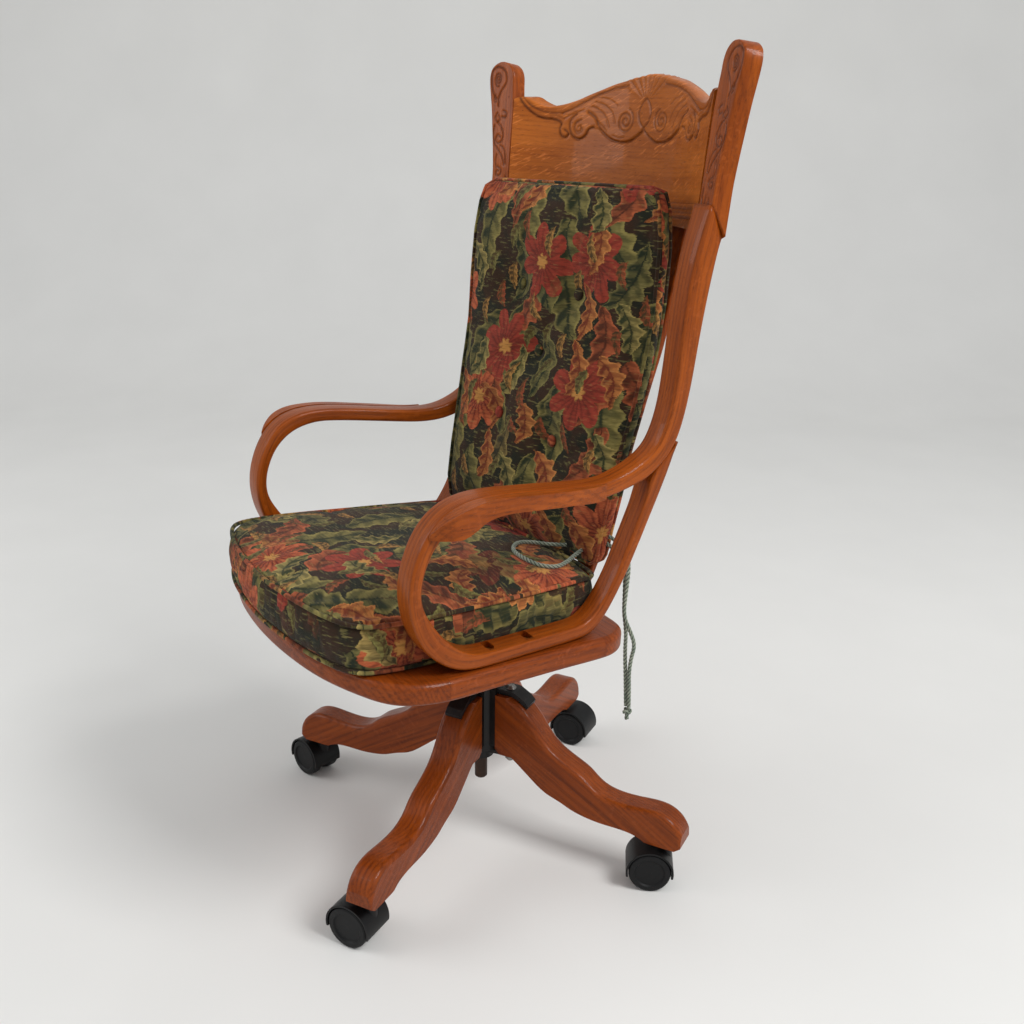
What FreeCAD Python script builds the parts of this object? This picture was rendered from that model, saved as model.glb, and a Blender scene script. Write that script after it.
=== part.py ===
"""Oak swivel desk chair with bentwood arms, a carved back and two loose cushions.

Millimetres. The origin is on the floor under the swivel axis, +Z is up, the chair
faces -Y, and the sitter's left is +X. The height is set by the 60 mm caster wheels.
"""
import FreeCAD, Part
import math
import os
import Sketcher
from FreeCAD import Placement, Rotation, Vector

doc = FreeCAD.newDocument("swivel_chair")
sheet = doc.addObject("Spreadsheet::Sheet", "Sizes")
size_names = []
pieces = []

UP = Vector(0, 0, 1)


def size(alias, value):
    """Write one named size into the sheet and hand its number back."""
    size_names.append(alias)
    line = len(size_names)
    sheet.set("A%d" % line, alias)
    sheet.set("B%d" % line, str(value))
    sheet.setAlias("B%d" % line, alias)
    return value


def bind(thing, **links):
    """Tie properties of an object to expressions on the sheet's sizes."""
    for prop, words in links.items():
        for alias in sorted(size_names, key=len, reverse=True):
            words = words.replace("<%s>" % alias, "Sizes.%s" % alias)
        thing.setExpression(prop, words)
    return thing


def keep(thing, label, place=None):
    """Name a finished piece after its node and put it in its place."""
    thing.Label = label
    if place is not None:
        thing.Placement = place
    pieces.append(thing)
    return thing


# Sizes

wood_gap = size("wood_gap", 0.2)
run_gap = size("run_gap", 0.05)
soft_gap = size("soft_gap", 0.4)

# Four-legged base
leg_width = size("leg_width", 40.0)
leg_start = size("leg_start", 34.2)
leg_reach = size("leg_reach", 329.0)
leg_edge_round = size("leg_edge_round", 7.0)
foot_height = size("foot_height", 70.0)
front_leg_angle = size("front_leg_angle", -60.0)
leg_bolt_radius = size("leg_bolt_radius", 4.0)
leg_bolt_reach = size("leg_bolt_reach", 50.0)
bolt_clearance = size("bolt_clearance", 0.2)

# Hub
hub_top = size("hub_top", 251.0)
hub_bottom = size("hub_bottom", 125.0)
hub_radius = size("hub_radius", 30.0)
hub_pad_top = size("hub_pad_top", 243.0)
hub_pad_bottom = size("hub_pad_bottom", 156.0)
hub_arm_width = size("hub_arm_width", 26.0)
hub_arm_thick = size("hub_arm_thick", 8.0)
tube_radius = size("tube_radius", 14.0)
spider_collar_radius = size("spider_collar_radius", 19.0)
spider_collar_height = size("spider_collar_height", 18.0)
spider_width = size("spider_width", 22.0)
spider_thick = size("spider_thick", 7.0)
spider_reach = size("spider_reach", 64.0)
leg_under_hub = size("leg_under_hub", 146.0)

# Height screw
screw_radius = size("screw_radius", 9.5)
screw_bottom = size("screw_bottom", 87.0)
screw_top = size("screw_top", 330.0)
screw_chamfer = size("screw_chamfer", 2.0)
pin_radius = size("pin_radius", 8.0)
pin_length = size("pin_length", 33.0)
nut_radius = size("nut_radius", 28.0)
nut_height = size("nut_height", 22.0)
nut_gap = size("nut_gap", 0.3)

# Casters
caster_inset = size("caster_inset", 27.0)
caster_reach = leg_reach - caster_inset
caster_trail = size("caster_trail", 22.0)
wheel_radius = size("wheel_radius", 30.0)
wheel_width = size("wheel_width", 17.5)
wheel_edge_round = size("wheel_edge_round", 3.0)
wheel_dish_radius = size("wheel_dish_radius", 22.0)
wheel_dish_depth = size("wheel_dish_depth", 2.0)
web_half = size("web_half", 7.0)
web_gap = size("web_gap", 0.5)
hood_gap = size("hood_gap", 1.2)
hood_wall = size("hood_wall", 2.8)
hood_cut = size("hood_cut", 23.0)
axle_radius = size("axle_radius", 3.0)
stem_radius = size("stem_radius", 5.4)
stem_collar_radius = size("stem_collar_radius", 9.0)
stem_insert = size("stem_insert", 34.0)
socket_wall = size("socket_wall", 0.6)
socket_flange_radius = size("socket_flange_radius", 11.0)
socket_flange_thick = size("socket_flange_thick", 1.5)

# Seat frame
seat_height = size("seat_height", 410.8)
seat_tilt = size("seat_tilt", 3.0)
seat_thick = size("seat_thick", 28.0)
seat_top_round = size("seat_top_round", 9.0)
seat_under_round = size("seat_under_round", 7.0)
front_rail_back = size("front_rail_back", -200.0)
rear_rail_front = size("rear_rail_front", 38.0)
side_rail_inner = size("side_rail_inner", 192.0)
iron_boss_radius = size("iron_boss_radius", 22.0)
iron_plate_thick = size("iron_plate_thick", 8.0)
iron_arm_width = size("iron_arm_width", 34.0)
iron_arm_reach = size("iron_arm_reach", 118.0)
iron_screw_radius = size("iron_screw_radius", 3.0)
iron_screw_reach = size("iron_screw_reach", 102.0)
iron_screw_length = size("iron_screw_length", 18.0)

# Bentwood arms
arm_edge_round = size("arm_edge_round", 4.5)
arm_front_width = size("arm_front_width", 36.0)
arm_rear_width = size("arm_rear_width", 33.0)
cheek_gap = size("cheek_gap", 0.35)
arm_screw_radius = size("arm_screw_radius", 4.0)
arm_pocket_radius = size("arm_pocket_radius", 6.5)
arm_pocket_depth = size("arm_pocket_depth", 9.0)

# Back
stile_thick = size("stile_thick", 24.0)
stile_toe = size("stile_toe", 14.5)
back_lean = size("back_lean", 6.0)
crest_radius = size("crest_radius", 343.0)
crest_thick = size("crest_thick", 20.0)
crest_lean_y = size("crest_lean_y", 248.0)
crest_bottom = size("crest_bottom", 909.5)
slat_width = size("slat_width", 34.0)
slat_thick = size("slat_thick", 11.0)
slat_pitch = size("slat_pitch", 55.0)
slat_round = size("slat_round", 3.0)

# Cushions and their ties
cushion_lift = size("cushion_lift", 0.4)
cushion_edge = size("cushion_edge", 64.0)
cushion_crown = size("cushion_crown", 12.0)
back_cushion_boxing = size("back_cushion_boxing", 20.0)
rear_swell = size("rear_swell", 0.12)
tuft_radius = size("tuft_radius", 9.0)
tie_radius = size("tie_radius", 2.6)


# Helpers

def plane_of(body, role):
    """The body's own origin plane of the named role."""
    return [f for f in body.Origin.OriginFeatures if f.Role == role][0]


def new_body(name):
    return doc.addObject("PartDesign::Body", name + "_body")


def new_sketch(body, role, name, offset=0.0):
    """An empty sketch on an origin plane of the body."""
    sketch = body.newObject("Sketcher::SketchObject", name)
    sketch.AttachmentSupport = (plane_of(body, role), [""])
    sketch.MapMode = "FlatFace"
    sketch.AttachmentOffset = Placement(Vector(0, 0, offset), Rotation())
    return sketch


def fair_curve(sketch, points, start=None, end=None):
    """One fair curve close to the points, through the first and the last."""
    points = [Vector(a, b, 0) for a, b in points]
    curve = Part.BSplineCurve()
    if start is not None:
        curve.interpolate(Points=points, InitialTangent=Vector(start[0], start[1], 0),
                          FinalTangent=Vector(end[0], end[1], 0))
    else:
        curve.approximate(Points=points, Tolerance=0.6, DegMin=3, DegMax=5)
        curve.setPole(1, points[0])
        curve.setPole(curve.NbPoles, points[-1])
    sketch.addGeometry(curve, False)
    return sketch


def trace(sketch, runs):
    """Close an outline from runs of points: two make a line, more make a curve."""
    for run in runs:
        points = [Vector(a, b, 0) for a, b in run]
        if len(points) == 2:
            sketch.addGeometry(Part.LineSegment(points[0], points[1]), False)
        else:
            curve = Part.BSplineCurve()
            curve.interpolate(points)
            sketch.addGeometry(curve, False)
    return sketch


def chain(points):
    """Straight runs through the points and back to the first."""
    return [[points[i], points[(i + 1) % len(points)]] for i in range(len(points))]


def rectangle(sketch, half_a, half_b):
    corners = [(-half_a, -half_b), (half_a, -half_b), (half_a, half_b), (-half_a, half_b)]
    return trace(sketch, chain(corners))


def circle(sketch, alias, centre=(0.0, 0.0), value=1.0, extra=""):
    """A circle whose radius is tied to a size."""
    number = sketch.addGeometry(
        Part.Circle(Vector(centre[0], centre[1], 0), UP, value), False)
    mark = sketch.addConstraint(Sketcher.Constraint("Radius", number, value))
    sketch.setExpression("Constraints[%d]" % mark, "Sizes.%s%s" % (alias, extra))
    return sketch


def pad(body, sketch, length, middle=False, down=False, name="Pad"):
    feature = body.newObject("PartDesign::Pad", name)
    feature.Profile = sketch
    bind(feature, Length=length)
    if middle:
        feature.SideType = "Symmetric"
    feature.Reversed = down
    return feature


def pocket_through(body, sketch, name="Pocket"):
    """Cut a sketch through everything, on both sides of its plane."""
    feature = body.newObject("PartDesign::Pocket", name)
    feature.Profile = sketch
    feature.Type = "ThroughAll"
    feature.SideType = "Symmetric"
    return feature


def around(body, features, count, name="Around"):
    """Repeat features about the body's own Z axis."""
    pattern = body.newObject("PartDesign::PolarPattern", name)
    pattern.Originals = features
    axis = [f for f in body.Origin.OriginFeatures if f.Role == "Z_Axis"][0]
    pattern.Axis = (axis, [""])
    pattern.Angle = 360
    pattern.Occurrences = count
    body.Tip = pattern
    return pattern


def cylinder(name, radius, height, base=Vector(0, 0, 0), turn=None):
    """A Part cylinder with its radius and height tied to sizes."""
    thing = doc.addObject("Part::Cylinder", name)
    bind(thing, Radius=radius, Height=height)
    thing.Placement = Placement(base, turn or Rotation())
    return thing


def box(name, length, width, height, corner, turn=None):
    thing = doc.addObject("Part::Box", name)
    thing.Length = length
    thing.Width = width
    thing.Height = height
    thing.Placement = Placement(corner, turn or Rotation())
    return thing


def fuse(name, things):
    thing = doc.addObject("Part::MultiFuse", name)
    thing.Shapes = things
    thing.Refine = True
    return thing


def cut(name, base, tool):
    thing = doc.addObject("Part::Cut", name)
    thing.Base = base
    thing.Tool = tool
    return thing


def common(name, things):
    thing = doc.addObject("Part::MultiCommon", name)
    thing.Shapes = things
    return thing


def shaped(name, shape):
    """A piece whose shape Part's own functions make."""
    thing = doc.addObject("Part::Feature", name + "_shape")
    thing.Shape = shape
    return thing


def about_z(angle, at=Vector(0, 0, 0)):
    return Placement(at, Rotation(UP, angle))


def between(table, key, column=1):
    """Read a column of a table of stations at a place between its rows."""
    if key <= table[0][0]:
        return table[0][column]
    for low, high in zip(table, table[1:]):
        if key <= high[0]:
            share = (key - low[0]) / (high[0] - low[0])
            return low[column] + share * (high[column] - low[column])
    return table[-1][column]


# Base

# Side of a leg as distance from the axis and height: the ogee top edge and the underside
LEG_TOP = [(66, 239), (75, 232), (90, 219), (100, 205), (110, 190), (122, 177), (141, 163),
           (158, 155), (175, 146), (190, 133), (205, 125), (222, 121), (245, 120),
           (270, 122), (292, 122.5), (308, 117.5), (322, 107)]
LEG_UNDER = [(275, 70.5), (264, 76), (250, 79), (230, 80), (208, 80), (180, 83), (160, 88),
             (143, 95), (120, 103), (100, 116), (85, 128), (70, 140)]
leg_shoulder = size("leg_shoulder", 57.0)
foot_toe = size("foot_toe", 320.0)
foot_heel = size("foot_heel", 283.0)

LEGS = [("leg_front_left", 0), ("leg_rear_left", 1), ("leg_rear_right", 2),
        ("leg_front_right", 3)]


def leg_place(turn_count):
    return about_z(front_leg_angle + 90.0 * turn_count)


def make_leg(label, turn_count):
    """One solid leg: an ogee side outline padded to the leg's width."""
    body = new_body(label)
    side = new_sketch(body, "XZ_Plane", label + "_side")
    fair_curve(side, [(leg_shoulder, hub_pad_top)] + LEG_TOP + [(leg_reach, 95.0)])
    runs = [
        [(leg_start, hub_pad_top), (leg_shoulder, hub_pad_top)],
        [(leg_reach, 95.0), (leg_reach, foot_height + 7.0)],
        [(leg_reach, foot_height + 7.0), (foot_toe, foot_height)],
        [(foot_toe, foot_height), (foot_heel, foot_height)],
        [(foot_heel, foot_height), LEG_UNDER[0]],
        LEG_UNDER,
        [LEG_UNDER[-1], (62.0, leg_under_hub)],
        [(62.0, leg_under_hub), (42.0, leg_under_hub)],
        [(42.0, leg_under_hub), (leg_start, leg_under_hub + 8.0)],
        [(leg_start, leg_under_hub + 8.0), (leg_start, hub_pad_top)],
    ]
    trace(side, runs)
    solid = pad(body, side, "<leg_width>", middle=True, name=label + "_pad")
    doc.recompute()
    edges = []
    for number, edge in enumerate(solid.Shape.Edges, 1):
        middle = edge.valueAt((edge.FirstParameter + edge.LastParameter) / 2)
        if edge.Length > 200 and middle.z > 100:
            edges.append("Edge%d" % number)
    if edges:
        rounded = body.newObject("PartDesign::Fillet", label + "_round")
        rounded.Base = (solid, edges)
        bind(rounded, Radius="<leg_edge_round>")
    holes = new_sketch(body, "XY_Plane", label + "_bolt_hole")
    circle(holes, "leg_bolt_radius", (leg_bolt_reach, 0.0), leg_bolt_radius + bolt_clearance,
           " + Sizes.bolt_clearance")
    pocket_through(body, holes, label + "_bolt_pocket")
    bore = new_sketch(body, "XY_Plane", label + "_socket_bore")
    bore_radius = stem_radius + run_gap + socket_wall
    circle(bore, "stem_radius", (caster_reach, 0.0), bore_radius,
           " + Sizes.run_gap + Sizes.socket_wall")
    drilled = body.newObject("PartDesign::Pocket", label + "_socket_pocket")
    drilled.Profile = bore
    bind(drilled, Length="<foot_height> + <stem_insert> + 2")
    drilled.Reversed = True
    keep(body, label, leg_place(turn_count))
    return body


for leg_label, leg_turn in LEGS:
    make_leg(leg_label, leg_turn)


def make_hub():
    """Upper iron: a bored hub between the legs with four arms over their tops."""
    body = new_body("hub_casting")
    ring = new_sketch(body, "XY_Plane", "hub_core", leg_under_hub)
    circle(ring, "hub_radius", value=hub_radius)
    pad(body, ring, "<hub_top> - <leg_under_hub>", name="hub_core_pad")
    tube = new_sketch(body, "XY_Plane", "hub_tube", hub_bottom)
    circle(tube, "tube_radius", value=tube_radius)
    pad(body, tube, "<leg_under_hub> - <hub_bottom> + 1", name="hub_tube_pad")
    reach = leg_start - wood_gap
    half = leg_width / 2.0 - 2.0
    for number, (half_a, half_b) in enumerate([(reach, half), (half, reach)]):
        cross = new_sketch(body, "XY_Plane", "hub_cross%d" % number, hub_pad_bottom)
        rectangle(cross, half_a, half_b)
        pad(body, cross, "<hub_top> - <hub_pad_bottom>", name="hub_cross_pad%d" % number)
    side = new_sketch(body, "XZ_Plane", "hub_arm_side")
    low = hub_pad_top + wood_gap
    top = low + hub_arm_thick
    inner = leg_start - 8.0
    trace(side, chain([
        (inner, top), (inner, low), (leg_shoulder, low),
        (LEG_TOP[0][0] + 0.9, LEG_TOP[0][1] + 1.7), (LEG_TOP[1][0] + 1.5, LEG_TOP[1][1] + 1.9),
        (83.0, 229.0), (84.5, 234.0),
        (78.0, 241.0), (leg_shoulder + 6.0, top - 1.5), (leg_shoulder, top)]))
    arm = pad(body, side, "<hub_arm_width>", middle=True, name="hub_arm_pad")
    around(body, [arm], 4, "hub_arms")
    bore = new_sketch(body, "XY_Plane", "hub_bore")
    circle(bore, "screw_radius", value=screw_radius + run_gap, extra=" + Sizes.run_gap")
    pocket_through(body, bore, "hub_bore_pocket")
    hole = new_sketch(body, "XY_Plane", "hub_bolt_hole")
    circle(hole, "leg_bolt_radius", (leg_bolt_reach, 0.0), leg_bolt_radius + bolt_clearance,
           " + Sizes.bolt_clearance")
    drilled = pocket_through(body, hole, "hub_bolt_pocket")
    around(body, [drilled], 4, "hub_bolt_holes")
    keep(body, "hub_casting", leg_place(0))
    return body


make_hub()


def make_lower_spider():
    """Lower iron: a collar round the hub's tube with four pointed arms under the legs."""
    body = new_body("lower_spider")
    top = leg_under_hub - wood_gap
    collar = new_sketch(body, "XY_Plane", "spider_collar", top)
    circle(collar, "spider_collar_radius", value=spider_collar_radius)
    pad(body, collar, "<spider_collar_height>", down=True, name="spider_collar_pad")
    side = new_sketch(body, "XZ_Plane", "spider_arm_side")
    trace(side, chain([(spider_collar_radius - 3.0, top), (spider_reach - 10.0, top),
                       (spider_reach - 3.0, top - 2.0), (spider_reach - 8.0, top - 4.0),
                       (spider_collar_radius + 4.0, top - spider_thick),
                       (spider_collar_radius - 3.0, top - spider_thick)]))
    arm = pad(body, side, "<spider_width>", middle=True, name="spider_arm_pad")
    around(body, [arm], 4, "spider_arms")
    bore = new_sketch(body, "XY_Plane", "spider_bore")
    circle(bore, "tube_radius", value=tube_radius + wood_gap, extra=" + Sizes.wood_gap")
    pocket_through(body, bore, "spider_bore_pocket")
    hole = new_sketch(body, "XY_Plane", "spider_bolt_hole")
    circle(hole, "leg_bolt_radius", (leg_bolt_reach, 0.0), leg_bolt_radius + bolt_clearance,
           " + Sizes.bolt_clearance")
    drilled = pocket_through(body, hole, "spider_bolt_pocket")
    around(body, [drilled], 4, "spider_bolt_holes")
    keep(body, "lower_spider", leg_place(0))


make_lower_spider()

# Bolts through both irons and the legs, with domed heads above and nuts below
bolt_head_radius = size("bolt_head_radius", 8.0)
bolt_head_height = size("bolt_head_height", 4.5)
leg_nut_radius = size("leg_nut_radius", 7.5)
leg_nut_height = size("leg_nut_height", 6.0)
bolt_end = size("bolt_end", 3.0)


def around_points(reach, count, start=0.0):
    """Points on a circle about the axis, evenly spaced."""
    return [Vector(reach * math.cos(math.radians(start + 360.0 * i / count)),
                   reach * math.sin(math.radians(start + 360.0 * i / count)), 0)
            for i in range(count)]


def make_leg_bolts():
    arm_top = hub_pad_top + wood_gap + hub_arm_thick
    spider_under = leg_under_hub - wood_gap - spider_thick
    shafts = []
    nuts = []
    for number, point in enumerate(around_points(leg_bolt_reach, 4)):
        low = spider_under - leg_nut_height - bolt_end
        shaft = cylinder("bolt_shaft%d" % number, "<leg_bolt_radius>",
                         "%s" % (arm_top - low), point + UP * low)
        head = doc.addObject("Part::Cone", "bolt_head%d" % number)
        bind(head, Radius1="<bolt_head_radius>", Radius2="<bolt_head_radius> * 0.55",
             Height="<bolt_head_height>")
        head.Placement = Placement(point + UP * arm_top, Rotation())
        shafts += [shaft, head]
        nut = doc.addObject("Part::Prism", "bolt_nut%d" % number)
        nut.Polygon = 6
        bind(nut, Circumradius="<leg_nut_radius>", Height="<leg_nut_height>")
        nut.Placement = Placement(point + UP * (spider_under - leg_nut_height), Rotation())
        hole = cylinder("bolt_nut_hole%d" % number, "<leg_bolt_radius> + <run_gap>",
                        "<leg_nut_height> + 4",
                        point + UP * (spider_under - leg_nut_height - 2.0))
        nuts.append(cut("bolt_nut_cut%d" % number, nut, hole))
    keep(fuse("leg_bolts_fuse", shafts), "leg_bolts", leg_place(0))
    keep(fuse("leg_nuts_fuse", nuts), "leg_nuts", leg_place(0))


make_leg_bolts()


def make_sockets():
    """Flanged metal sleeves in the feet that hold the caster stems."""
    sleeves = []
    for number, point in enumerate(around_points(caster_reach, 4)):
        low = foot_height - socket_flange_thick
        flange = cylinder("socket_flange%d" % number, "<socket_flange_radius>",
                          "<socket_flange_thick> - <run_gap>", point + UP * low)
        tube = cylinder("socket_tube%d" % number,
                        "<stem_radius> + <run_gap> + <socket_wall> - 0.02",
                        "<socket_flange_thick> + <stem_insert>", point + UP * low)
        whole = fuse("socket_solid%d" % number, [flange, tube])
        bore = cylinder("socket_bore%d" % number, "<stem_radius> + <run_gap>",
                        "<socket_flange_thick> + <stem_insert> + 4",
                        point + UP * (low - 2.0))
        sleeves.append(cut("socket_cut%d" % number, whole, bore))
    keep(fuse("caster_sockets_fuse", sleeves), "caster_sockets", leg_place(0))


make_sockets()


# Height screw

def make_screw():
    """The threaded spindle: a plain round bar with a turned pin on top."""
    body = new_body("spindle_screw")
    side = new_sketch(body, "XZ_Plane", "screw_half")
    trace(side, chain([
        (0.0, screw_bottom), (screw_radius - screw_chamfer, screw_bottom),
        (screw_radius, screw_bottom + screw_chamfer), (screw_radius, screw_top),
        (pin_radius, screw_top), (pin_radius, screw_top + pin_length),
        (0.0, screw_top + pin_length)]))
    turned = body.newObject("PartDesign::Revolution", "screw_turned")
    turned.Profile = side
    axis = [f for f in body.Origin.OriginFeatures if f.Role == "Z_Axis"][0]
    turned.ReferenceAxis = (axis, [""])
    turned.Angle = 360
    keep(body, "spindle_screw")


make_screw()

nut_base = hub_top + wood_gap + nut_gap
nut_ring = cylinder("height_nut_ring", "<nut_radius>", "<nut_height>", Vector(0, 0, nut_base))
nut_bore = cylinder("height_nut_bore", "<screw_radius> + <run_gap>", "<nut_height> + 4",
                    Vector(0, 0, nut_base - 2.0))
keep(cut("height_nut_cut", nut_ring, nut_bore), "height_nut")


# Casters

CASTERS = [("front_left", 0, -151.0), ("rear_left", 1, -128.0), ("rear_right", 2, 31.0),
           ("front_right", 3, -166.0)]
ACROSS = Rotation(Vector(1, 0, 0), 90)


def make_caster(name, turn_count, heading):
    """A hooded twin-wheel caster, made along +X and then turned to its heading."""
    stem_foot = around_points(caster_reach, 4, front_leg_angle)[turn_count]
    place = about_z(heading, stem_foot)
    hub = Vector(caster_trail, 0, wheel_radius)
    half = web_half + web_gap + wheel_width
    outer = wheel_radius + hood_gap + hood_wall
    disc = cylinder(name + "_hood_disc",
                    "<wheel_radius> + <hood_gap> + <hood_wall>",
                    "2 * (<web_half> + <web_gap> + <wheel_width>)",
                    hub + Vector(0, half, 0), ACROSS)
    column = cylinder(name + "_hood_column", "<stem_collar_radius>",
                      "<wheel_radius> + 4", Vector(0, 0, wheel_radius))
    blank = fuse(name + "_hood_blank", [disc, column])
    rooms = []
    for side in (1, -1):
        start = half + 5.0 if side > 0 else -web_half
        rooms.append(cylinder(name + "_hood_room%d" % (side + 1),
                              "<wheel_radius> + <hood_gap>",
                              "<web_gap> + <wheel_width> + 5",
                              hub + Vector(0, start, 0), ACROSS))
    floor_cut = box(name + "_hood_floor", 4.0 * outer, 4.0 * half, hood_cut + 20.0,
                    Vector(caster_trail - 2.0 * outer, -2.0 * half, -20.0))
    axle_hole = cylinder(name + "_hood_axle_hole", "<axle_radius> + 0.02",
                         "2 * <web_half> + 4", hub + Vector(0, web_half + 2.0, 0), ACROSS)
    stem_hole = cylinder(name + "_hood_stem_hole", "<stem_radius> + 0.02", "40",
                         Vector(0, 0, wheel_radius + 14.0))
    tools = fuse(name + "_hood_tools", rooms + [floor_cut, axle_hole, stem_hole])
    keep(cut(name + "_hood_cut", blank, tools), name + "_caster_hood", place)

    collar_low = wheel_radius + 34.0 + run_gap
    collar = cylinder(name + "_stem_collar", "<stem_collar_radius>",
                      "<foot_height> - <socket_flange_thick> - <wheel_radius> - 34.4",
                      Vector(0, 0, collar_low))
    shaft = cylinder(name + "_stem_shaft", "<stem_radius>",
                     "<foot_height> + <stem_insert> - <wheel_radius> - 16",
                     Vector(0, 0, wheel_radius + 14.1))
    keep(fuse(name + "_stem_fuse", [collar, shaft]), name + "_caster_stem", place)

    axle = cylinder(name + "_axle_bar", "<axle_radius>",
                    "2 * (<web_half> + <web_gap> + <wheel_width> - <wheel_dish_depth>)",
                    hub + Vector(0, half - wheel_dish_depth, 0), ACROSS)
    keep(axle, name + "_caster_axle", place.multiply(axle.Placement))

    for side, side_name in ((1, "inner"), (-1, "outer")):
        body = new_body("%s_%s_wheel" % (name, side_name))
        half_section = new_sketch(body, "XZ_Plane", "%s_%s_section" % (name, side_name))
        low = side * (web_half + web_gap)
        high = side * half
        bore = axle_radius + run_gap
        r = wheel_edge_round
        trace(half_section, chain([
            (bore, low), (wheel_radius - r, low), (wheel_radius - 0.3 * r, low + side * 0.3 * r),
            (wheel_radius, low + side * r), (wheel_radius, high - side * r),
            (wheel_radius - 0.3 * r, high - side * 0.3 * r), (wheel_radius - r, high),
            (wheel_dish_radius, high), (wheel_dish_radius - 2.0, high - side * wheel_dish_depth),
            (bore, high - side * wheel_dish_depth)]))
        turned = body.newObject("PartDesign::Revolution", "%s_%s_turned" % (name, side_name))
        turned.Profile = half_section
        spin = [f for f in body.Origin.OriginFeatures if f.Role == "Z_Axis"][0]
        turned.ReferenceAxis = (spin, [""])
        turned.Angle = 360
        keep(body, "%s_%s_wheel" % (name, side_name),
             place.multiply(Placement(hub, Rotation(Vector(1, 0, 0), -90))))


for caster_name, caster_turn, caster_heading in CASTERS:
    make_caster(caster_name, caster_turn, caster_heading)


# Seat

SEAT_PLACE = Placement(Vector(0, 0, seat_height), Rotation(Vector(1, 0, 0), -seat_tilt))

# Plan outline of the left half of the seat from the middle of its front edge
SEAT_FRONT = [(-203, -289), (-149, -309), (-75, -322), (0, -326), (75, -322), (149, -309),
              (203, -289)]
SEAT_CORNER = [(203, -289), (230, -274.5), (246, -259), (257, -236), (262, -211)]
SEAT_SIDE = [(262, -211), (259, -150), (254, -80), (250, -20), (247, 33)]
SEAT_REAR_CORNER = [(247, 33), (243, 55), (231, 75), (213, 88), (190, 92)]
SEAT_REAR = [(100, 94), (0, 94), (-100, 94)]


def mirrored(points):
    return [(-a, b) for a, b in reversed(points)]


def make_seat_blank(label):
    """The seat's whole plan outline padded to its thickness with rounded edges."""
    body = new_body(label)
    plan = new_sketch(body, "XY_Plane", label + "_plan")
    left = SEAT_CORNER[1:-1] + SEAT_SIDE[:-1] + SEAT_REAR_CORNER
    near_half = [p for p in SEAT_FRONT if p[0] >= 0] + left
    near_half += [p for p in SEAT_REAR if p[0] >= 0]
    fair_curve(plan, near_half, (1, 0), (-1, 0))
    fair_curve(plan, [(-a, b) for a, b in near_half], (-1, 0), (1, 0))
    solid = pad(body, plan, "<seat_thick>", down=True, name=label + "_pad")
    doc.recompute()
    edges_top = []
    for number, edge in enumerate(solid.Shape.Edges, 1):
        reach = edge.BoundBox
        if reach.ZLength < 0.1 and reach.ZMax > -1.0:
            edges_top.append("Edge%d" % number)
    over = body.newObject("PartDesign::Fillet", label + "_over")
    over.Base = (solid, edges_top)
    bind(over, Radius="<seat_top_round>")
    doc.recompute()
    edges_under = []
    for number, edge in enumerate(over.Shape.Edges, 1):
        reach = edge.BoundBox
        if reach.ZLength < 0.1 and abs(reach.ZMax + seat_thick) < 0.1:
            edges_under.append("Edge%d" % number)
    under = body.newObject("PartDesign::Fillet", label + "_under")
    under.Base = (over, edges_under)
    bind(under, Radius="<seat_under_round>")
    return body


seat_blank = make_seat_blank("seat_blank")
doc.recompute()


def seat_piece(label, corners, tools=None):
    """The part of the seat blank inside a plan outline, less its screw holes."""
    body = new_body(label + "_area")
    area = new_sketch(body, "XY_Plane", label + "_area_plan", 5.0)
    trace(area, chain(corners))
    pad(body, area, "<seat_thick> + 10", down=True, name=label + "_area_pad")
    piece = common(label + "_common", [seat_blank, body])
    piece.Placement = SEAT_PLACE
    if tools:
        piece = cut(label + "_cut", piece, tools)
        keep(piece, label)
    else:
        keep(piece, label, SEAT_PLACE)


iron_top = -seat_thick - wood_gap


def make_seat_iron():
    """Four flat arms under the seat on a bored boss that turns on the screw's pin."""
    body = new_body("seat_iron")
    plate = new_sketch(body, "XY_Plane", "iron_arm_plan", iron_top)
    reach = iron_arm_reach
    half = iron_arm_width / 2.0
    turn = math.radians(45.0)
    corners = []
    for a, b in ((0.0, -half), (reach - 8.0, -half * 0.8), (reach, -half * 0.35),
                 (reach, half * 0.35), (reach - 8.0, half * 0.8), (0.0, half)):
        corners.append((a * math.cos(turn) - b * math.sin(turn),
                        a * math.sin(turn) + b * math.cos(turn)))
    trace(plate, chain(corners))
    arm = pad(body, plate, "<iron_plate_thick>", down=True, name="iron_arm_pad")
    around(body, [arm], 4, "iron_arms")
    disc = new_sketch(body, "XY_Plane", "iron_disc", iron_top)
    circle(disc, "iron_boss_radius", value=iron_boss_radius * 1.7, extra=" * 1.7")
    pad(body, disc, "<iron_plate_thick>", down=True, name="iron_disc_pad")
    hole = new_sketch(body, "XY_Plane", "iron_screw_holes")
    spot = iron_screw_reach * math.cos(turn)
    circle(hole, "iron_screw_radius", (spot, spot), iron_screw_radius + run_gap,
           " + Sizes.run_gap")
    drilled = pocket_through(body, hole, "iron_screw_pocket")
    around(body, [drilled], 4, "iron_screw_pattern")
    body.Placement = SEAT_PLACE
    boss_low = screw_top + nut_gap
    boss_high = seat_height - seat_thick - iron_plate_thick + 2.0
    boss = cylinder("iron_boss", "<iron_boss_radius>", "10", Vector(0, 0, boss_low))
    boss.setExpression("Height", None)
    boss.Height = boss_high - boss_low
    whole = fuse("seat_iron_fuse", [body, boss])
    bore = cylinder("iron_bore", "<pin_radius> + <run_gap>", "<pin_length> + 1",
                    Vector(0, 0, screw_top - 0.5))
    keep(cut("seat_iron_cut", whole, bore), "seat_iron")


make_seat_iron()


# Bentwood arms

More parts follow.
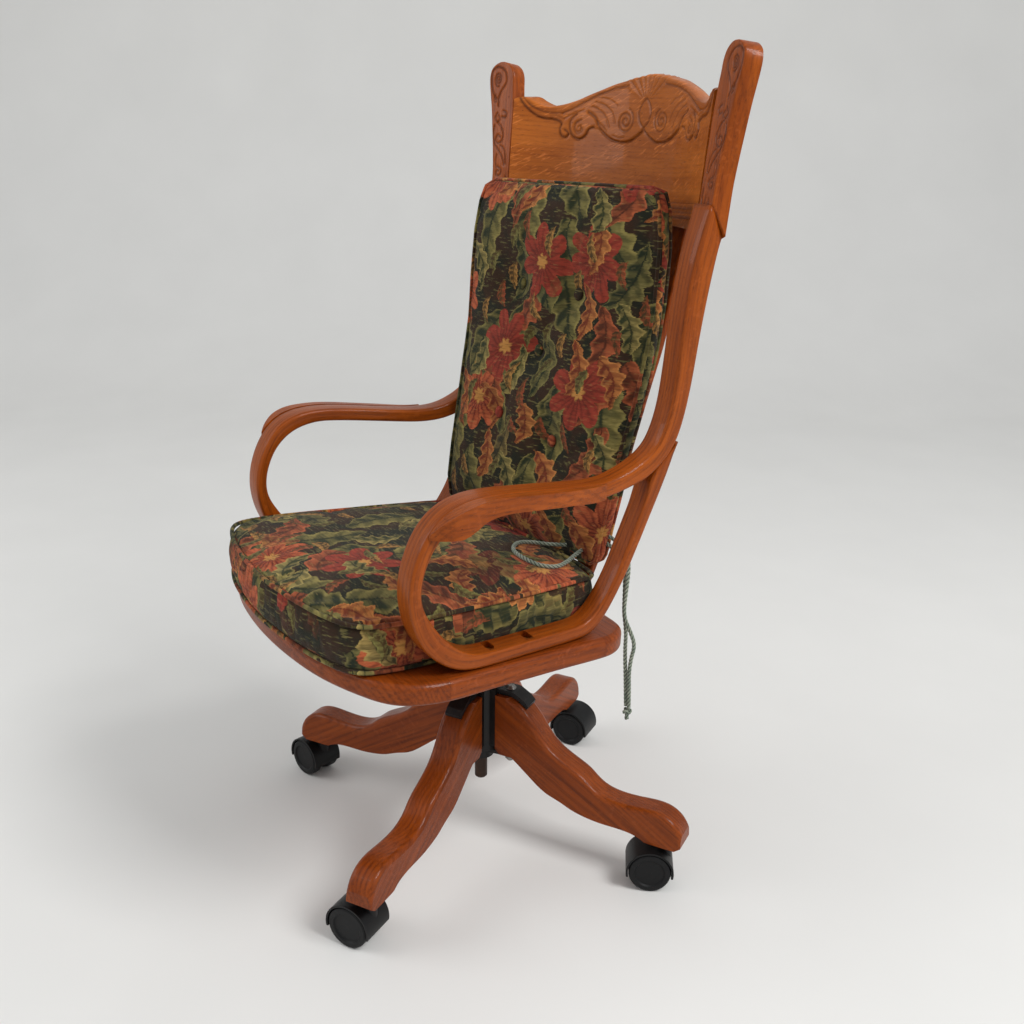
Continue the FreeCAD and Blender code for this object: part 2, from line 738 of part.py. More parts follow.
# Stations along the left strip from the top of the rear post, down and forward along the
# arm, round its front, back along the seat and up behind the post. Each holds the strip's
# outer-curve point and inner-curve point, both as (y, z), and the outer edge's x.
ARM_UPPER = [
    ((166, 945), (187, 905), 250.0), ((153, 905), (184, 893), 249.5),
    ((147, 880), (181, 876), 248.4), ((142, 845), (175.3, 843), 247.0),
    ((139, 809), (170.3, 807), 245.4), ((137, 773), (166, 771), 244.0),
    ((134.5, 736), (162, 733), 242.4), ((131, 704), (156.8, 700), 241.0),
    ((124.5, 678), (149, 668), 240.0), ((115, 656), (137, 643), 239.0),
    ((102, 643), (119, 626), 238.5), ((88, 634.5), (99, 612), 238.2),
    ((73, 628), (80, 607), 238.0), ((57, 622.8), (61, 602), 238.2), ((40, 619.7), (42, 599.3), 240.0),
    ((15, 619.2), (14, 599.2), 243.5), ((-20, 622.5), (-21, 604), 245.2),
    ((-60, 627.5), (-62, 609.2), 249.6), ((-100, 632.5), (-101, 614), 254.8),
    ((-130, 635.6), (-130, 617), 256.2), ((-156, 636), (-149, 618), 256.6),
    ((-180, 632.8), (-171, 614.5), 256.8), ((-200, 625), (-188, 608.3), 257.0),
    ((-217, 612), (-203, 598), 257.0), ((-231, 593), (-216, 584), 257.0),
    ((-242, 568), (-226, 564.5), 257.0), ((-248, 542), (-232.5, 542), 257.0),
    ((-248, 515), (-232, 518), 257.0)]
ARM_LOWER = [
    ((-248, 515), (-232, 518), 257.0), ((-240, 482), (-220, 495), 257.0),
    ((-224, 455), (-204, 472), 256.5), ((-200, 434.3), (-185, 454), 256.2),
    ((-175, 423.5), (-166, 442.5), 254.3), ((-150, 419.3), (-147, 437.5), 251.6),
    ((-100, 416.7), (-99, 434.7), 246.2), ((-50, 414.1), (-49, 432.2), 240.8),
    ((-6, 412.2), (-5, 430.2), 236.0), ((20, 413.5), (13, 431), 233.4), ((39, 424.0), (28, 438.5), 231.4),
    ((54, 440), (43, 451.5), 229.8), ((67, 458), (54.5, 467), 228.8),
    ((79, 477.5), (65.5, 484.5), 228.2), ((89, 497), (74, 502), 228.2),
    ((97.3, 516), (80.5, 520), 228.8), ((105, 534), (87.5, 537), 229.8),
    ((112, 554), (94.3, 556.5), 231.6), ((119, 573), (100.5, 575), 233.6),
    ((126, 593), (105, 597), 235.6), ((133.2, 612.5), (112, 618.5), 237.0),
    ((140.2, 633), (127, 635), 238.2), ((147, 655), (142, 650), 239.0)]


def arm_width_at(station):
    """The strip narrows from the front bend to the rear post."""
    depth = station[0][0]
    return between([(-150.0, arm_front_width), (-20.0, arm_rear_width + 2.0),
                    (40.0, arm_rear_width), (140.0, arm_rear_width),
                    (187.0, arm_front_width - 1.5)], depth)


def strip_section(station, side):
    """One rounded rectangular section of the strip, square to its run."""
    outer = Vector(0, station[0][0], station[0][1])
    inner = Vector(0, station[1][0], station[1][1])
    inward = inner - outer
    thick = inward.Length
    inward.normalize()
    high = station[2] * side
    low = (station[2] - arm_width_at(station)) * side
    across = Vector(-side, 0, 0)
    r = min(arm_edge_round, thick * 0.42)
    wide = abs(high - low)
    corner = outer + Vector(high, 0, 0)

    def at(a, b):
        return corner + across * a + inward * b

    bend = r * (1.0 - math.sqrt(0.5))
    edges = [
        Part.LineSegment(at(r, 0), at(wide - r, 0)),
        Part.Arc(at(wide - r, 0), at(wide - bend, bend), at(wide, r)),
        Part.LineSegment(at(wide, r), at(wide, thick - r)),
        Part.Arc(at(wide, thick - r), at(wide - bend, thick - bend), at(wide - r, thick)),
        Part.LineSegment(at(wide - r, thick), at(r, thick)),
        Part.Arc(at(r, thick), at(bend, thick - bend), at(0, thick - r)),
        Part.LineSegment(at(0, thick - r), at(0, r)),
        Part.Arc(at(0, r), at(bend, bend), at(r, 0)),
    ]
    return Part.Wire([edge.toShape() for edge in edges])


ARM_POCKETS = [-131.0, -72.0]
arm_pocket_inset = size("arm_pocket_inset", 20.0)


def make_arm(side, side_name):
    """One arm: two lofts along the bent strip joined at the front bend."""
    upper = Part.makeLoft([strip_section(s, side) for s in ARM_UPPER], True, False)
    lower = Part.makeLoft([strip_section(s, side) for s in ARM_LOWER], True, False)
    strip = upper.fuse(lower).removeSplitter()
    body = shaped(side_name + "_arm_strip", strip)
    tools = []
    screws = []
    for number, y in enumerate(ARM_POCKETS):
        x = side * (between(ARM_EDGE_RUN, y) - arm_pocket_inset)
        top = between(ARM_TOP_RUN, y)
        name = "%s_arm_screw%d" % (side_name, number)
        tools.append(cylinder(name + "_pocket", "<arm_pocket_radius>",
                              "<arm_pocket_depth> + 5",
                              Vector(x, y, top - arm_pocket_depth)))
        tools.append(cylinder(name + "_hole", "<arm_screw_radius> + <run_gap>", "60",
                              Vector(x, y, top - 50.0)))
        head = cylinder(name + "_head", "<arm_screw_radius> * 1.45", "3",
                        Vector(x, y, top - arm_pocket_depth + run_gap))
        shank = cylinder(name + "_shank", "<arm_screw_radius>", "26",
                         Vector(x, y, top - arm_pocket_depth - 25.0))
        screws += [head, shank]
    drill = fuse(side_name + "_arm_tools", tools)
    keep(cut(side_name + "_arm_cut", body, drill), side_name + "_bentwood_arm")
    return drill, screws


ARM_EDGE_RUN = [(s[0][0], s[2]) for s in ARM_LOWER[3:9]]
ARM_TOP_RUN = [(s[1][0], s[1][1]) for s in ARM_LOWER[3:9]]

# Outer edge of the cheek piece glued to the arm's outer face, by depth
CHEEK_PLAN = [(-223.5, 258.2), (-215, 266.5), (-207, 271.5), (-200, 274.5), (-190, 276), (-180, 276),
              (-160, 273.4), (-140, 272.4), (-120, 271.8), (-100, 270.4), (-80, 267.6),
              (-60, 264.6), (-40, 261.4), (-20, 257.0), (0, 252.2), (20, 247.4), (30, 244.8)]
cheek_under = size("cheek_under", 598.0)
CHEEK_TOP = [(-223.5, 603.5), (-217, 612), (-200, 625), (-180, 632.8), (-156, 636),
             (-130, 635.6), (-100, 632.5), (-60, 627.5), (-20, 622.5), (15, 619.2), (30, 619.2)]
CHEEK_LOW = [(30, 599.2), (14, 599.2), (-21, 604), (-62, 609.2), (-101, 614), (-130, 616),
             (-150, 614), (-170, 606)]


def make_cheek(side, side_name):
    """The flared cheek: its side outline and its plan outline in common."""
    label = side_name + "_arm_cheek"
    side_body = new_body(label + "_profile")
    profile = new_sketch(side_body, "YZ_Plane", label + "_profile_sketch", side * 262.0)
    trace(profile, [CHEEK_TOP, [CHEEK_TOP[-1], CHEEK_LOW[0]], CHEEK_LOW,
                    [CHEEK_LOW[-1], (-190.0, cheek_under)],
                    [(-190.0, cheek_under), (-223.5, cheek_under)],
                    [(-223.5, cheek_under), CHEEK_TOP[0]]])
    pad(side_body, profile, "70", middle=True, name=label + "_profile_pad")
    plan_body = new_body(label + "_plan")
    plan = new_sketch(plan_body, "XY_Plane", label + "_plan_sketch", cheek_under - 10.0)
    inner = []
    for station in ARM_UPPER:
        if -225.0 <= station[0][0] <= 35.0:
            inner.append((side * (station[2] + cheek_gap), station[0][0]))
    inner = [(side * (between([(s[0][0], s[2]) for s in reversed(ARM_UPPER)], 30.0)
                      + cheek_gap), 30.0)] + inner
    inner.append((side * (257.0 + cheek_gap), -223.5))
    outer = [(side * x, y) for y, x in CHEEK_PLAN]
    trace(plan, [outer, [outer[-1], inner[0]]] + [[a, b] for a, b in zip(inner, inner[1:])]
          + [[inner[-1], outer[0]]])
    pad(plan_body, plan, "70", name=label + "_plan_pad")
    keep(common(label + "_common", [side_body, plan_body]), label)


arm_parts = {}
for arm_side, arm_name in ((1, "left"), (-1, "right")):
    arm_parts[arm_name] = make_arm(arm_side, arm_name)
    make_cheek(arm_side, arm_name)


half_gap = wood_gap / 2.0
FAR = 400.0
front_edge = front_rail_back - half_gap
side_front = front_rail_back + half_gap
side_rear = rear_rail_front - half_gap
rear_edge = rear_rail_front + half_gap
screw_tools = []
screw_solids = []
for number, point in enumerate(around_points(iron_screw_reach, 4, 45.0)):
    screw_tools.append(cylinder("iron_screw_hole%d" % number,
                                "<iron_screw_radius> + <run_gap>", "<iron_screw_length> + 1",
                                point + UP * (iron_top - wood_gap)))
    shank = cylinder("iron_screw_shank%d" % number, "<iron_screw_radius>",
                     "<iron_plate_thick> + <iron_screw_length>",
                     point + UP * (iron_top - iron_plate_thick - wood_gap))
    head = doc.addObject("Part::Cone", "iron_screw_head%d" % number)
    bind(head, Radius1="<iron_screw_radius>", Radius2="<iron_screw_radius> * 2.2",
         Height="3")
    head.Placement = Placement(point + UP * (iron_top - iron_plate_thick - run_gap - 3.0),
                               Rotation())
    screw_solids += [shank, head]
placed_screw_holes = fuse("panel_screw_holes", screw_tools)
placed_screw_holes.Placement = SEAT_PLACE
seat_piece("seat_front_rail", [(-FAR, -FAR), (FAR, -FAR), (FAR, front_edge), (-FAR, front_edge)])
seat_piece("seat_rear_rail", [(-FAR, rear_edge), (FAR, rear_edge), (FAR, FAR), (-FAR, FAR)],
           placed_screw_holes)
seat_piece("seat_left_rail", [(side_rail_inner + half_gap, side_front), (FAR, side_front),
                              (FAR, side_rear), (side_rail_inner + half_gap, side_rear)],
           arm_parts["left"][0])
seat_piece("seat_right_rail", [(-FAR, side_front), (-side_rail_inner - half_gap, side_front),
                               (-side_rail_inner - half_gap, side_rear), (-FAR, side_rear)],
           arm_parts["right"][0])

seat_piece("seat_panel", [(-side_rail_inner + half_gap, side_front),
                          (side_rail_inner - half_gap, side_front),
                          (side_rail_inner - half_gap, side_rear),
                          (-side_rail_inner + half_gap, side_rear)],
           placed_screw_holes)
keep(fuse("seat_iron_screws_fuse", screw_solids), "seat_iron_screws", SEAT_PLACE)


# Back

# Outline of the left carved stile, outward and upward from its lower end
stile_foot_height = size("stile_foot_height", 905.0)
stile_half_width = size("stile_half_width", 18.0)
crest_end_gap = size("crest_end_gap", 0.9)
stile_foot_x = size("stile_foot_x", 232.0)
stile_foot_y = size("stile_foot_y", 166.5)
STILE_OUTER = [(stile_half_width, 0), (17.4, 35), (17.4, 65), (20.4, 95), (24.5, 125), (28.9, 155),
               (33.0, 175), (36.0, 190), (37.0, 203)]
STILE_EAR = [(37.0, 203), (34, 213), (26, 219.5), (14, 223), (2, 221), (-8, 214), (-13, 204)]
STILE_INNER = [(-13, 204), (-14.5, 190), (-16.5, 172), (-stile_half_width, 155)]


def stile_frame(side):
    """Directions of a stile, across its face, up it and out of its front, and its foot."""
    toe = math.radians(stile_toe)
    lean = math.radians(back_lean)
    across = Vector(math.cos(toe), -side * math.sin(toe), 0)
    back = Vector(side * math.sin(toe), math.cos(toe), 0)
    up = (UP + back * math.tan(lean)).normalize()
    foot = Vector(side * stile_foot_x, stile_foot_y, stile_foot_height)
    return foot, Rotation(across, up, across.cross(up), "ZXY")


def make_stile(side, side_name):
    """The tall carved end post of the back above the arm's scarf joint."""
    label = side_name + "_stile"
    body = new_body(label)
    face = new_sketch(body, "XY_Plane", label + "_face")
    trace(face, [[(side * a, b) for a, b in run] for run in (STILE_OUTER, STILE_EAR, STILE_INNER)]
          + chain([(-side * stile_half_width, 155), (-side * stile_half_width, 0),
                   (side * stile_half_width, 0)])[:2])
    pad(body, face, "<stile_thick>", down=True, name=label + "_pad")
    foot, turn = stile_frame(side)
    body.Placement = Placement(foot, turn)
    away = Vector(0, ARM_UPPER[0][0][0], ARM_UPPER[0][0][1])
    low = Vector(0, ARM_UPPER[0][1][0], ARM_UPPER[0][1][1])
    along = (low - away).normalize()
    square = Vector(1, 0, 0).cross(along)
    wedge = shaped(label + "_scarf", Part.makeBox(
        160.0, 160.0, 80.0, Vector(side * stile_foot_x - 80.0, 0, -80.0)))
    wedge.Placement = Placement(low - along * 110.0 + square * wood_gap,
                                Rotation(Vector(1, 0, 0), along, square, "ZXY"))
    keep(cut(label + "_cut", body, wedge), label)


for stile_side, stile_name in ((1, "left"), (-1, "right")):
    make_stile(stile_side, stile_name)

# Top edge of the crest rail, from its middle outwards, by height
crest_half = size("crest_half", 228.0)
CREST_TOP = [(0, 1103), (10, 1101.5), (30, 1099), (50, 1096), (70, 1092), (90, 1086), (110, 1079.5),
             (130, 1072), (150, 1066.4), (165, 1064.2), (177, 1064.5), (190, 1070), (200, 1076),
             (211, 1077), (228, 1070)]


def make_crest():
    """A curved plank, hollow to the front, cut to the crest's outline."""
    plank = new_body("crest_plank")
    plan = new_sketch(plank, "XY_Plane", "crest_plan", crest_bottom - 20.0)
    middle = crest_lean_y - crest_radius
    spread = math.radians(42.0)
    rims = []
    for radius in (crest_radius, crest_radius + crest_thick):
        ends = [(radius * math.sin(a), middle + radius * math.cos(a))
                for a in (-spread, 0.0, spread)]
        rims.append(ends)
    for rim in rims:
        plan.addGeometry(Part.Arc(*[Vector(a, b, 0) for a, b in rim]), False)
    trace(plan, [[rims[0][0], rims[1][0]], [rims[0][2], rims[1][2]]])
    pad(plank, plan, "240", name="crest_plank_pad")
    lean = Rotation(Vector(1, 0, 0), -back_lean)
    pivot = Vector(0, crest_lean_y, crest_bottom)
    plank.Placement = Placement(pivot - lean.multVec(pivot), lean)
    front = new_body("crest_front")
    face = new_sketch(front, "XZ_Plane", "crest_face")
    top = mirrored(CREST_TOP)[:-1] + CREST_TOP
    trace(face, [top, [(crest_half, top[-1][1]), (crest_half, crest_bottom)],
                 [(crest_half, crest_bottom), (-crest_half, crest_bottom)],
                 [(-crest_half, crest_bottom), (-crest_half, top[0][1])]])
    pad(front, face, "1200", middle=True, name="crest_front_pad")
    whole = common("crest_common", [plank, front])
    ends = []
    for side in (1, -1):
        foot, turn = stile_frame(side)
        start = -stile_half_width - crest_end_gap
        end = shaped("crest_end%d" % (side + 1), Part.makeBox(
            120.0, 400.0, 160.0, Vector(start if side > 0 else -start - 120.0, -80.0, -80.0)))
        end.Placement = Placement(foot, turn)
        ends.append(end)
    keep(cut("crest_cut", whole, fuse("crest_ends", ends)), "crest_rail")


make_crest()

# Front face of the middle slat in side view, from the seat up to the crest
SLAT_FRONT = [(407.1, 80), (450, 98), (500, 117), (560, 135), (620, 151), (662, 163), (706, 176),
              (745, 188), (796, 200), (850, 211), (909, 221)]


def make_slat(number):
    """A flat bent slat from the seat's rear rail to the underside of the crest."""
    x = slat_pitch * (number - 3)
    label = "back_slat_%d" % number
    top_y = crest_lean_y - crest_radius + math.sqrt(crest_radius ** 2 - x ** 2)
    top_y += (crest_thick - slat_thick) / 2.0 + 1.0
    low_z = SLAT_FRONT[0][0]
    high_z = SLAT_FRONT[-1][0]
    front = []
    for z, y in SLAT_FRONT:
        share = (z - low_z) / (high_z - low_z)
        front.append((y + (top_y - SLAT_FRONT[-1][1]) * share, z))
    rear = [(y + slat_thick, z) for y, z in reversed(front)]
    body = new_body(label)
    side = new_sketch(body, "YZ_Plane", label + "_side")
    trace(side, [front, [front[-1], rear[0]], rear, [rear[-1], front[0]]])
    solid = pad(body, side, "<slat_width>", middle=True, name=label + "_pad")
    doc.recompute()
    edges = []
    for index, edge in enumerate(solid.Shape.Edges, 1):
        if edge.Length > 300:
            edges.append("Edge%d" % index)
    rounded = body.newObject("PartDesign::Fillet", label + "_round")
    rounded.Base = (solid, edges)
    bind(rounded, Radius="<slat_round>")
    keep(body, label, Placement(Vector(x, 0, 0), Rotation()))


for slat_number in range(1, 6):
    make_slat(slat_number)


# Cushions

def arc_wire(points):
    """A closed wire of arcs, each through three points in turn."""
    edges = []
    count = len(points)
    for start in range(0, count, 2):
        a, b, c = points[start], points[start + 1], points[(start + 2) % count]
        edges.append(Part.Arc(a, b, c).toShape())
    return Part.Wire(edges)


# Plan of the seat cushion: arc ends and middles in turn, in the seat's tilted frame
CUSHION_PLAN = [(-158, -313), (0, -333), (158, -313), (203, -290), (214, -250), (205, -105),
                (188, 34), (182, 55), (164, 63), (0, 68), (-164, 63), (-182, 55), (-188, 34),
                (-205, -105), (-214, -250), (-203, -290)]
cushion_middle = size("cushion_middle", -125.0)


def cushion_section(inset, height):
    """The cushion's plan drawn in by an inset at a height over the seat."""
    across = 1.0 - inset / 214.0
    along = 1.0 - inset / 205.0
    return arc_wire([Vector(x * across, cushion_middle + (y - cushion_middle) * along, height)
                     for x, y in CUSHION_PLAN])


cushion_rows = [(12.0, 0.0), (3.0, 3.0), (0.0, 8.0), (-1.5, cushion_edge / 2.0),
                (0.0, cushion_edge - 5.0), (5.0, cushion_edge + 1.0)]
for inset in (25.0, 50.0, 80.0, 110.0, 140.0, 165.0):
    rise = 1.0 - ((175.0 - inset) / 175.0) ** 2
    cushion_rows.append((inset, cushion_edge + 1.0 + rise * cushion_crown))
cushion_solid = Part.makeLoft([cushion_section(inset, cushion_lift + height)
                               for inset, height in cushion_rows], True, False)
keep(shaped("seat_cushion", cushion_solid), "seat_cushion", SEAT_PLACE)

# Rows of the back cushion by height: the front seam's left and right ends as x and y, how far
# the faces swell, and the boxing's share of its full thickness
BACK_ROWS = [
    (474.5, -172, 67, 138, 93, 2, 0.35), (482, -185, 56, 150, 91, 9, 0.8),
    (515, -189, 54, 154, 95, 15, 1.0), (570, -190, 62, 156, 108, 17, 1.0),
    (632, -191, 73, 158, 119, 17, 1.0), (678, -200, 86, 160, 133, 17, 1.0),
    (754, -214, 107, 161, 151, 17, 1.0), (814, -216, 112, 161, 160, 17, 1.0),
    (887, -216, 119, 161, 164, 16, 1.0), (930, -212, 126, 160, 162, 13, 0.95),
    (954, -205, 132, 155, 160, 8, 0.8), (961, -190, 139, 142, 162, 2, 0.3)]


def back_section(row):
    """A lens-shaped level section with thin sides and swollen faces."""
    z, xl, yl, xr, yr, swell, share = row
    boxing = back_cushion_boxing * share
    left = Vector(xl, yl, z)
    right = Vector(xr, yr, z)
    run = (right - left).normalize()
    back = Vector(-run.y, run.x, 0)
    middle = (left + right) * 0.5 - back * swell
    middle_rear = (left + right) * 0.5 + back * (boxing + swell * rear_swell)
    return arc_wire([left, middle, right, right + run * 2.0 + back * boxing * 0.5,
                     right + back * boxing, middle_rear, left + back * boxing,
                     left - run * 2.0 + back * boxing * 0.5])


# Sewn tufts on the front of the back cushion, as x and height
TUFTS = [(-92, 819), (27, 816), (-34, 731), (-88, 633), (33, 615)]
tuft_depth = size("tuft_depth", 8.0)
dimple_radius = size("dimple_radius", 34.0)


def front_of_back_cushion(x, z):
    """Depth of the swollen front face at a point."""
    xl, yl, xr, yr, swell = [between(BACK_ROWS, z, column) for column in (1, 2, 3, 4, 5)]
    share = (x - xl) / (xr - xl)
    bend = 1.0 - (2.0 * share - 1.0) ** 2
    return yl + (yr - yl) * share - swell * bend


def make_back_cushion():
    solid = Part.makeLoft([back_section(row) for row in BACK_ROWS], True, False)
    buttons = []
    for number, (x, z) in enumerate(TUFTS):
        y = front_of_back_cushion(x, z)
        centre = Vector(x, y - dimple_radius + tuft_depth, z)
        solid = solid.cut(Part.makeSphere(dimple_radius, centre))
        button = doc.addObject("Part::Ellipsoid", "tuft%d" % number)
        bind(button, Radius2="<tuft_radius>", Radius3="<tuft_radius>", Radius1="3")
        button.Placement = Placement(Vector(x, y + tuft_depth - 3.7 - soft_gap, z),
                                     Rotation(Vector(1, 0, 0), 80))
        buttons.append(button)
    keep(shaped("back_cushion", solid), "back_cushion")
    keep(fuse("tufts_fuse", buttons), "back_cushion_tufts")


make_back_cushion()


# Ties

def cord_path(points):
    """Straight runs joined by tangent arcs; returns the wire and the smallest radius."""
    edges = []
    start = points[0]
    radii = []
    for before, point, after in zip(points, points[1:], points[2:]):
        back = before - point
        ahead = after - point
        shorter = min(back.Length, ahead.Length)
        turn = math.pi - back.getAngle(ahead)
        back.normalize()
        ahead.normalize()
        reach = 0.45 * shorter
        radius = reach / math.tan(turn / 2.0)
        radii.append(radius)
        first = point + back * reach
        last = point + ahead * reach
        bisector = (back + ahead).normalize()
        middle = point + bisector * (radius / math.cos(turn / 2.0) - radius)
        edges.append(Part.LineSegment(start, first).toShape())
        edges.append(Part.Arc(first, middle, last).toShape())
        start = last
    edges.append(Part.LineSegment(start, points[-1]).toShape())
    return Part.Wire(edges), radii


def make_cord(label, points):
    """A round cord swept along its path."""
    points = [Vector(*point) for point in points]
    path, radii = cord_path(points)
    ahead = (points[1] - points[0]).normalize()
    ring = Part.Wire([Part.Circle(points[0], ahead, tie_radius).toShape()])
    tube = path.makePipeShell([ring], True, False)
    section = math.pi * tie_radius ** 2
    print(label, "length %.1f" % path.Length, "least radius %.1f" % min(radii),
          "volume share %.4f" % (tube.Volume / (section * path.Length)))
    keep(shaped(label, tube), label)


TIE_STRAIGHT = [(152, 106, 498), (172, 112, 490), (188, 112, 469), (195, 107, 440), (198, 105, 412),
                (201, 108, 385), (198, 110, 355), (201, 110, 325), (200, 113, 296),
                (201, 114, 270)]
TIE_LOOPED = [(152, 108, 508), (176, 118, 501), (194, 114, 480), (202, 104, 448), (205, 98, 412),
              (212, 107, 388), (215, 113, 368), (208, 113, 346), (207.5, 111, 322),
              (206.5, 114, 296), (207.5, 114, 270)]
TIE_BOW = [(98, 79, 483), (82, 60, 482), (68, 38, 486), (72, 10, 491), (96, -10, 492),
           (126, -14, 492), (152, -3, 487), (160, 20, 483), (148, 45, 482), (132, 68, 481),
           (124, 89, 484)]
make_cord("tie_left_straight", TIE_STRAIGHT)
make_cord("tie_left_looped", TIE_LOOPED)
make_cord("tie_bow", TIE_BOW)
tie_knot_radius = size("tie_knot_radius", 5.5)
knot = doc.addObject("Part::Ellipsoid", "tie_knot_solid")
bind(knot, Radius1="<tie_knot_radius> * 1.3", Radius2="<tie_knot_radius> * 1.4",
     Radius3="<tie_knot_radius>")
keep(knot, "tie_left_knot", Placement(Vector(204, 114, 270 - 1.3 * tie_knot_radius - 0.1),
                                      Rotation()))


# Arm screws

arm_screw_solids = arm_parts["left"][1] + arm_parts["right"][1]
keep(fuse("arm_screws_fuse", arm_screw_solids), "arm_screws")


# Checks and files

doc.recompute()
faults = []
for thing in doc.Objects:
    if "Invalid" in thing.State or "Error" in thing.State:
        faults.append("%s %s" % (thing.Name, thing.State))
for piece in pieces:
    shape = piece.Shape
    if shape.isNull() or not shape.isValid():
        faults.append("%s has no valid shape" % piece.Label)
    elif shape.Volume < 1.0:
        faults.append("%s is empty" % piece.Label)
if faults:
    raise RuntimeError("; ".join(faults))

os.makedirs("parts", exist_ok=True)
for piece in pieces:
    piece.Shape.exportStep(os.path.join("parts", piece.Label + ".step"))
print("pieces", len(pieces))
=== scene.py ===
"""Looks of an oak swivel desk chair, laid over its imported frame. Lengths in the tables are mm."""
import math

import bpy
import numpy as np
from mathutils import Matrix, Vector
from mathutils.kdtree import KDTree


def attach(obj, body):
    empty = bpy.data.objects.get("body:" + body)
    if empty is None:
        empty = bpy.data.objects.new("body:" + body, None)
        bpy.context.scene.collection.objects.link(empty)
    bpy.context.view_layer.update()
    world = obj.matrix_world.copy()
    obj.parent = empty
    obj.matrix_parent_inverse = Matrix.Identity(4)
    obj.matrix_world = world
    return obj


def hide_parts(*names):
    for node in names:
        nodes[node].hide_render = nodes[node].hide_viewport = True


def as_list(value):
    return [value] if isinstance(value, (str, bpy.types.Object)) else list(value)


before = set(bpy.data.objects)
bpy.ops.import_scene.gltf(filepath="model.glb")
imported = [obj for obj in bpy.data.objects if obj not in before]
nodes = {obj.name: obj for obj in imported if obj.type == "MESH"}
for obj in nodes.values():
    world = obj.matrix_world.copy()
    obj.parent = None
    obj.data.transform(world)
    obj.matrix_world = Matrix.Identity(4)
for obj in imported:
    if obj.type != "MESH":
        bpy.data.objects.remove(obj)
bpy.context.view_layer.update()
scene = bpy.context.scene
MM = 0.001
UP = Vector((0.0, 0.0, 1.0))


# Lines and tables

def smooth_line(points, steps, closed=False):
    """Points along a smooth line through the given ones, with the given ones among them."""
    given = np.array(points, float)
    count = len(given)
    spans = count if closed else count - 1
    line = []
    for span in range(spans):
        if closed:
            quad = [given[(span + offset) % count] for offset in (-1, 0, 1, 2)]
        else:
            quad = [given[min(max(span + offset, 0), count - 1)] for offset in (-1, 0, 1, 2)]
            if span == 0:
                quad[0] = 2.0 * given[0] - given[1]
            if span == spans - 1:
                quad[3] = 2.0 * given[-1] - given[-2]
        knots = [0.0]
        for a, b in zip(quad, quad[1:]):
            knots.append(knots[-1] + max(np.linalg.norm(b - a), 1e-6) ** 0.5)
        for t in np.linspace(knots[1], knots[2], steps, endpoint=False):
            a1 = [((knots[k + 1] - t) * quad[k] + (t - knots[k]) * quad[k + 1])
                  / (knots[k + 1] - knots[k]) for k in range(3)]
            b1 = [((knots[k + 2] - t) * a1[k] + (t - knots[k]) * a1[k + 1])
                  / (knots[k + 2] - knots[k]) for k in range(2)]
            line.append(((knots[2] - t) * b1[0] + (t - knots[1]) * b1[1])
                        / (knots[2] - knots[1]))
    if not closed:
        line.append(given[-1])
    return np.array(line)


def away_from(line, u, v):
    """Distance of each point of the arrays u and v from a drawn line."""
    best = np.full(u.shape, 1e9)
    for (ax, ay), (bx, by) in zip(line, line[1:]):
        dx, dy = bx - ax, by - ay
        share = ((u - ax) * dx + (v - ay) * dy) / max(dx * dx + dy * dy, 1e-9)
        share = np.clip(share, 0.0, 1.0)
        gap = (u - ax - share * dx) ** 2 + (v - ay - share * dy) ** 2
        best = np.minimum(best, gap)
    return np.sqrt(best)


def inside(outline, u, v):
    """True where each point of the arrays u and v lies inside a closed outline."""
    odd = np.zeros(u.shape, bool)
    for (ax, ay), (bx, by) in zip(outline, np.roll(outline, -1, axis=0)):
        if ay == by:
            continue
        crosses = (ay > v) != (by > v)
        odd ^= crosses & (u < (bx - ax) * (v - ay) / (by - ay) + ax)
    return odd


def travelled(line):
    """Distance along a line to each of its points."""
    steps = np.linalg.norm(np.diff(line, axis=0), axis=1)
    return np.concatenate([[0.0], np.cumsum(steps)])


def bow(share):
    """0 at both ends of a run and 1 in its middle."""
    return 1.0 - (2.0 * share - 1.0) ** 2


def rolled(share):
    """How far a quarter-round edge has dropped, at a share of its width from the rim."""
    return 1.0 - np.sqrt(np.clip(1.0 - (1.0 - share) ** 2, 0.0, 1.0))


def eased(value, low, high):
    """0 below low, 1 above high and an even rise between."""
    share = np.clip((value - low) / (high - low), 0.0, 1.0)
    return share * share * (3.0 - 2.0 * share)


def spiral(centre, radius, turns, start, squeeze=1.0, hand=1):
    """A line that winds in to its centre."""
    points = []
    for share in np.linspace(0.0, 1.0, int(turns * 22)):
        angle = start + hand * share * turns * 2.0 * math.pi
        reach = radius * (1.0 - 0.86 * share)
        points.append((centre[0] + squeeze * reach * math.cos(angle),
                       centre[1] + reach * math.sin(angle)))
    return np.array(points)


# Meshes

def placed(name, data):
    """A new object in the scene that shows the data."""
    holder = bpy.data.objects.new(name, data)
    scene.collection.objects.link(holder)
    return holder


def evaluated(holder):
    """A new mesh of the object as its modifiers or its curve leave it."""
    graph = bpy.context.evaluated_depsgraph_get()
    graph.update()
    return bpy.data.meshes.new_from_object(holder.evaluated_get(graph))


def mesh_from(name, vertices, faces):
    mesh = bpy.data.meshes.new(name)
    mesh.from_pydata([tuple(v) for v in vertices], [], [tuple(f) for f in faces])
    return mesh


def coordinates(mesh):
    flat = np.zeros(len(mesh.vertices) * 3, np.float32)
    mesh.vertices.foreach_get("co", flat)
    return flat.reshape(-1, 3).astype(float)


def move_to(mesh, points):
    mesh.vertices.foreach_set("co", np.asarray(points, np.float32).ravel())
    mesh.update()


def tree_of(points):
    """A search tree over points, which gives back their numbers."""
    tree = KDTree(len(points))
    for index, point in enumerate(points):
        tree.insert(Vector(point), index)
    tree.balance()
    return tree


